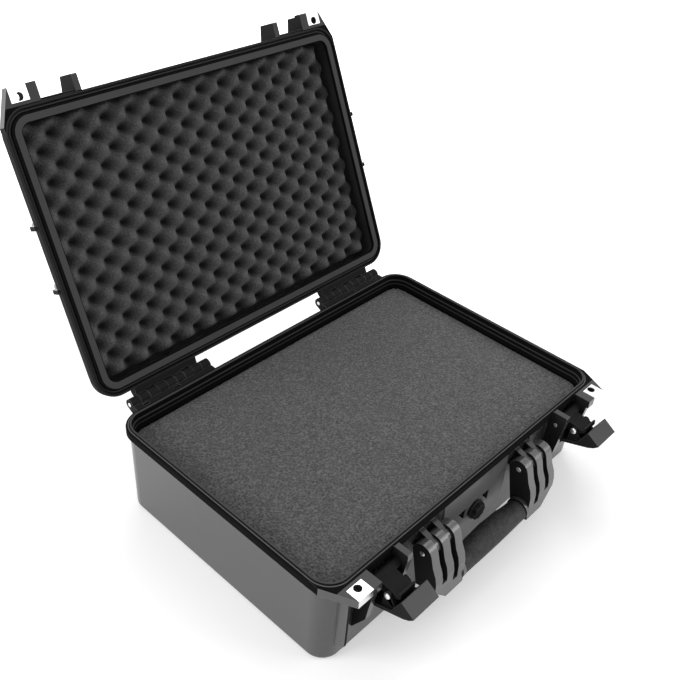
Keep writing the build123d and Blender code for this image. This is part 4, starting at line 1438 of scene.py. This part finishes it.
@dataclass
class Latch:
    """One latch: its lever with grip ridges, its hook and its two pins.

    Args:
        side: which latch.
        edge: rounding of the lever's edges, in millimetres.
        hook_edge: rounding of the hook's edges.
        ridges: how many ridges the lever has.
        ridge_pitch: from one ridge to the next.
        ridge_start: first ridge below the lever's upper end, with the latch shut.
        ridge_margin: from a ridge's end to the lever's side.
        ridge_width: width of a ridge.
        ridge_rise: height of a ridge.
        link_head: radius of the link pin's heads.
        link_rise: how far those heads stand out.
        pivot_rise: how far the pivot pin's rounded ends stand out.
        outer_skin: how far the lever's lighter outer face reaches in.
        pad: height of the finger pad at the lever's tip.
        tree: the geometry tree that grows the ridges.
    """

    side: Side
    edge: float = 0.5
    hook_edge: float = 0.4
    ridges: int = 4
    ridge_pitch: float = 4.2
    ridge_start: float = 7.0
    ridge_margin: float = 5.0
    ridge_width: float = 2.0
    ridge_rise: float = 0.9
    link_head: float = 3.9
    link_rise: float = 1.5
    pivot_rise: float = 0.3
    # outer_skin: how far the lever's outer face, in its own colour, reaches in before the painted shade inside
    # the lever.
    outer_skin: float = 1.8
    pad: float = 13.0
    tree: Tree | None = None

    def build(self, finishes: Finishes, places: Places) -> None:
        """Makes and dresses the latch.

        Args:
            finishes: the materials.
            places: where the latch rests.
        """
        word = self.side.word
        lever_node, hook_node = f"latch_lever_{word}", f"latch_hook_{word}"
        lever = softened(lever_node, self.edge, f"lever_{word}")
        place_piece(lever, finishes.get(LATCH), Placing(f"lever_{word}", "latch_plastic", (lever_node,)))
        to_rest = places.lever(self.side)
        low, high = (corner / MM for corner in places.shut_box(lever_node, to_rest))
        # painted shade inside the lever's channel, in the hook's darker plastic, and on the lever's side faces
        inside = Zone((-FAR, low.y + self.outer_skin, -FAR), (FAR, FAR, high.z - self.pad), Facing.ENDWISE)
        part_finish(lever, finishes.get(HOOK_AND_LEVER_SHADE), to_rest.inverted(), inside)
        part_finish(lever, finishes.get(PAINTED_SHADE), to_rest.inverted(), ALL_SIDES)
        hook = softened(hook_node, self.hook_edge, f"hook_{word}")
        place_piece(hook, finishes.get(HOOK_AND_LEVER_SHADE), Placing(f"hook_{word}", "latch_plastic", (hook_node,)))
        self.build_ridges(finishes.get(LATCH), to_rest, places)
        link_node = f"latch_link_pin_{word}"
        link = headed_pin(f"link_pin_{word}", link_node, self.link_rise, self.link_head)
        place_piece(link, finishes.get(PIN), Placing(f"hook_{word}", "steel_pin", (link_node,)))
        pivot_node = f"latch_pivot_pin_{word}"
        pivot = headed_pin(f"pivot_pin_{word}", pivot_node, self.pivot_rise)
        place_piece(pivot, finishes.get(PIN), Placing("base", "steel_pin", (pivot_node,)))

    def build_ridges(self, finish: Material, to_rest: Matrix, places: Places) -> None:
        """Makes the ridges across the lever's outer face.

        Args:
            finish: what they are made of.
            to_rest: from the shut lever to the open one.
            places: where the lever's box is.
        """
        word = self.side.word
        low, high = places.shut_box(f"latch_lever_{word}", to_rest)
        top = high.z - self.ridge_start * MM
        middle = (low.x + high.x) / 2
        upright = Matrix(((1, 0, 0, middle), (0, 0, -1, low.y), (0, 1, 0, top), (0, 0, 0, 1)))
        values = {
            "Count": self.ridges,
            "Pitch": -self.ridge_pitch * MM,
            "Length": high.x - low.x - 2 * self.ridge_margin * MM,
            "Width": self.ridge_width * MM,
            "Rise": self.ridge_rise * MM,
            "Material": finish,
        }
        ridges = grown(self.tree, f"lever_ridges_{word}", values, to_rest @ upright)
        smooth(ridges.data, angle=60.0)
        place_piece(ridges, finish, Placing(f"lever_{word}", "latch_plastic"))


@dataclass
class Handle:
    """Carry handle: its frame, its soft grip and its two pins.

    Args:
        edge: rounding of the frame's edges, in millimetres.
        outer: radius of the grip on its far side.
        end: its radius towards the pins, at its ends.
        swell: how much more that is in the middle.
        swell_power: above one for a swell that is narrower than a half wave.
        round_power: above one for a swell that is narrower round the grip.
        fingers: faint finger hollows on that side.
        finger_depth: depth of those hollows.
        bore: radius of the grip's bore.
        end_rounding: how much the grip narrows at its very ends.
        tilt: how far the swell leans from straight towards the pins, in degrees.
        stations: rings along the grip.
        facets: facets round the grip.
        pin_rise: how far the pins' rounded ends stand out.
    """

    edge: float = 0.9
    outer: float = 13.4
    end: float = 11.8
    swell: float = 4.4
    swell_power: float = 1.2
    round_power: float = 1.3
    fingers: int = 4
    finger_depth: float = 0.45
    bore: float = 8.05
    end_rounding: float = 0.8
    tilt: float = 13.0
    stations: int = 96
    facets: int = 48
    pin_rise: float = 0.6

    def grip_radius(self, share: float, towards: float) -> float:
        """Radius of the grip, in metres.

        Args:
            share: share of the grip's length.
            towards: one on the side of the pins, minus one on the far side.

        Returns:
            The radius.
        """
        swell = self.swell * max(0.0, sin(pi * share)) ** self.swell_power
        wave = self.finger_depth * (1 - cos(2 * pi * self.fingers * share)) / 2
        near = self.end + swell - wave
        blend = (0.5 + 0.5 * towards) ** self.round_power
        return (self.outer + (near - self.outer) * blend) * MM

    def build_grip(self) -> Piece:
        """Makes the grip as a closed tube round the frame's bar.

        Returns:
            The grip.
        """
        low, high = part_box("handle_grip")
        middle = (low + high) / 2
        bore = self.bore * MM
        length = high.x - low.x
        inner = pi * 0.5 - radians(self.tilt)
        points, rings = [], []
        rows = [(n / self.stations, None) for n in range(self.stations + 1)] + [(1.0, bore), (0.0, bore)]
        for share, fixed in rows:
            rings.append(len(points))
            for step in range(self.facets):
                angle = 2 * pi * step / self.facets
                reach = fixed or self.grip_radius(share, cos(angle - inner))
                if fixed is None and share in (0.0, 1.0):
                    reach -= self.end_rounding * MM
                offset = Vector(((share - 0.5) * length, reach * cos(angle), reach * sin(angle)))
                points.append(middle + offset)
        faces = []
        for start, after in zip(rings, rings[1:] + rings[:1]):
            for step in range(self.facets):
                beside = (step + 1) % self.facets
                faces.append((start + step, after + step, after + beside, start + beside))
        mesh = bpy.data.meshes.new("grip_sleeve")
        mesh.from_pydata(points, [], faces)
        outwards(mesh)
        smooth(mesh, angle=45.0)
        return show("grip_sleeve", mesh)

    def build(self, finishes: Finishes) -> None:
        """Makes and dresses the handle.

        Args:
            finishes: the materials.
        """
        bow = softened("handle_frame", self.edge, "handle_bow", segments=3)
        place_piece(bow, finishes.get(HANDLE), Placing("handle", "handle_plastic", ("handle_frame",)))
        # painted shade on the side faces of the handle's frame
        part_finish(bow, finishes.get(PAINTED_SHADE), Matrix(), ALL_SIDES)
        grip = self.build_grip()
        place_piece(grip, finishes.get(GRIP), Placing("handle", "grip_rubber", ("handle_grip",)))
        for side in Side:
            node = f"handle_pin_{side.word}"
            pin = headed_pin(f"bow_pin_{side.word}", node, self.pin_rise)
            place_piece(pin, finishes.get(PIN), Placing("base", "steel_pin", (node,)))


@dataclass
class Fittings:
    """Valve, padlock sleeves and hinge pins.

    Args:
        edge: rounding of their edges, in millimetres.
        pin_rise: how far the hinge pins' rounded ends stand out.
    """

    edge: float = 0.35
    pin_rise: float = 0.4

    def build(self, finishes: Finishes) -> None:
        """Makes and dresses the fittings.

        Args:
            finishes: the materials.
        """
        jobs = [
            ("valve_body", "valve_flange", VALVE, "base", "valve_plastic"),
            ("valve_knob", "valve_cap", VALVE, "valve_knob", "valve_plastic"),
        ]
        for side in Side:
            for body in ("base", "lid"):
                node = f"{body}_lock_sleeve_{side.word}"
                jobs.append((node, node + "_bend", SLEEVES[body], body, "sleeve_steel"))
        for node, name, finish, body, slot in jobs:
            piece = softened(node, self.edge, name)
            place_piece(piece, finishes.get(finish), Placing(body, slot, (node,)))
        dress(frame["nodes"]["valve_seal"], finishes.get(SEAL))
        for side in Side:
            node = f"hinge_pin_{side.word}"
            pin = headed_pin(f"hinge_rod_{side.word}", node, self.pin_rise)
            place_piece(pin, finishes.get(PIN), Placing("base", "steel_pin", (node,)))


# ---- Studio -------------------------------------------------------------------------
@dataclass(frozen=True)
class Lamp:
    """A soft square lamp that faces the case.

    Args:
        name: the lamp's name.
        place: where it stands, in metres.
        size: its side, in metres.
        power: its power, in watts.
    """

    name: str
    place: Point
    size: float
    power: float

    def build(self, aim: Point) -> None:
        """Makes the lamp.

        Args:
            aim: the point that it faces.
        """
        data = bpy.data.lights.new(self.name, "AREA")
        data.shape = "SQUARE"
        data.size = self.size
        data.energy = self.power
        lamp = bpy.data.objects.new(self.name, data)
        turn = (Vector(aim) - Vector(self.place)).to_track_quat("-Z", "Y")
        lamp.matrix_world = Matrix.Translation(self.place) @ turn.to_matrix().to_4x4()
        bpy.context.scene.collection.objects.link(lamp)


SQUARE = ((-1, -1), (1, -1), (1, 1), (-1, 1))
LAMPS = (
    Lamp("left_lamp", (-2.1, 0.9, 1.0), 1.4, 40.0),
    Lamp("front_lamp", (1.3, -1.9, 1.4), 1.2, 18.0),
    Lamp("top_lamp", (1.0, 1.2, 1.8), 1.8, 26.0),
)


@dataclass
class Studio:
    """White floor, soft light and the camera.

    Args:
        floor_half: half the width of the floor, in metres.
        floor_drop: how far the floor lies below the case, in metres.
        fill: strength of the light that comes from all round.
        floor_glow: how bright the floor shows near the case, of its own.
        glow_reach: how far out it starts to brighten and is fully white, in metres.
        aim: the point that the lamps face.
        sensor: width of the camera's sensor, in millimetres.
        lens: the camera's focal length, in millimetres.
        picture: size of the picture in pixels.
        middle: pixel that the camera's axis passes through.
        location: where the camera stands.
        right: the way that is right in the picture.
        up: the way that is up in it.
        ahead: the way that the camera looks.
    """

    floor_half: float = 12.0
    floor_drop: float = 0.0003
    fill: float = 0.55
    floor_glow: float = 0.34
    glow_reach: Span = (0.3, 1.1)
    aim: Point = (0.0, 0.05, 0.12)
    sensor: float = 36.0
    lens: float = 48.09
    picture: float = 680.0
    middle: Span = (342.24, 324.82)
    location: Point = (-0.6359, -0.4843, 0.7894)
    right: Point = (0.67962, -0.73025, 0.06967)
    up: Point = (0.38937, 0.43959, 0.80941)
    ahead: Point = (0.62170, 0.52296, -0.58309)

    def seen(self, wires: Wires) -> Socket:
        """Which rays see the white background.

        Args:
            wires: the wires of the world or the floor.

        Returns:
            One for rays from the camera, or that a glossy or clear surface sends on.
        """
        path = wires.node("ShaderNodeLightPath").outputs
        sent_on = wires.math("MAXIMUM", path["Is Glossy Ray"], path["Is Transmission Ray"])
        return wires.math("MAXIMUM", path["Is Camera Ray"], sent_on)

    def build_world(self) -> None:
        """Even white surroundings."""
        world = bpy.data.worlds.new("studio")
        bpy.context.scene.world = world
        world.use_nodes = True
        wires = Wires(world.node_tree)
        background = world.node_tree.nodes["Background"]
        strength = wires.math("MULTIPLY_ADD", self.seen(wires), 1.0 - self.fill, self.fill)
        wires.feed(background, {"Color": grey(1.0), "Strength": strength})

    def build_floor(self) -> None:
        """Pale floor that keeps the case's shadow."""
        corners = [(x * self.floor_half, y * self.floor_half, -self.floor_drop) for x, y in SQUARE]
        mesh = bpy.data.meshes.new("floor")
        mesh.from_pydata(corners, [], [(0, 1, 2, 3)])
        floor = show("floor", mesh)
        material, wires, shader = new_material("white_floor")
        away = wires.node("ShaderNodeVectorMath", {0: wires.place()}, operation="LENGTH").outputs["Value"]
        glow = wires.stretch(away, *self.glow_reach, self.floor_glow, 1.0)
        surface = {
            "Base Color": grey(0.8),
            "Roughness": 0.9,
            "Specular IOR Level": 0.1,
            "Emission Color": grey(1.0),
            "Emission Strength": wires.math("MULTIPLY", self.seen(wires), glow),
        }
        wires.feed(shader, surface)
        dress(floor, material)

    def build_camera(self) -> None:
        """The camera, with a small shift that centres the picture."""
        data = bpy.data.cameras.new("camera")
        data.sensor_fit = "HORIZONTAL"
        data.sensor_width = self.sensor
        data.lens = self.lens
        data.shift_x = -(self.middle[0] - self.picture / 2) / self.picture
        data.shift_y = (self.middle[1] - self.picture / 2) / self.picture
        camera = bpy.data.objects.new("camera", data)
        rows = Matrix((self.right, self.up, tuple(-part for part in self.ahead)))
        camera.matrix_world = Matrix.Translation(self.location) @ rows.transposed().to_4x4()
        bpy.context.scene.collection.objects.link(camera)
        bpy.context.scene.camera = camera

    def build(self) -> None:
        """Makes the whole studio."""
        bpy.context.scene.view_settings.view_transform = "Standard"
        self.build_world()
        self.build_floor()
        self.build_camera()
        for lamp in LAMPS:
            lamp.build(self.aim)


def main() -> None:
    """Builds the studio, then each sub-assembly in order."""
    logging.basicConfig(level=logging.INFO)
    places = Places()
    finishes = Finishes(places)
    Studio().build()
    Shells().build(finishes, places)
    FoamSet().build(finishes, places)
    LidTrim().build(finishes, places)
    ridge_tree = make_ridge_tree()
    for side in Side:
        Latch(side, tree=ridge_tree).build(finishes, places)
    Handle().build(finishes)
    Fittings().build(finishes)


if __name__ == "__main__":
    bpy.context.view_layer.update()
    main()
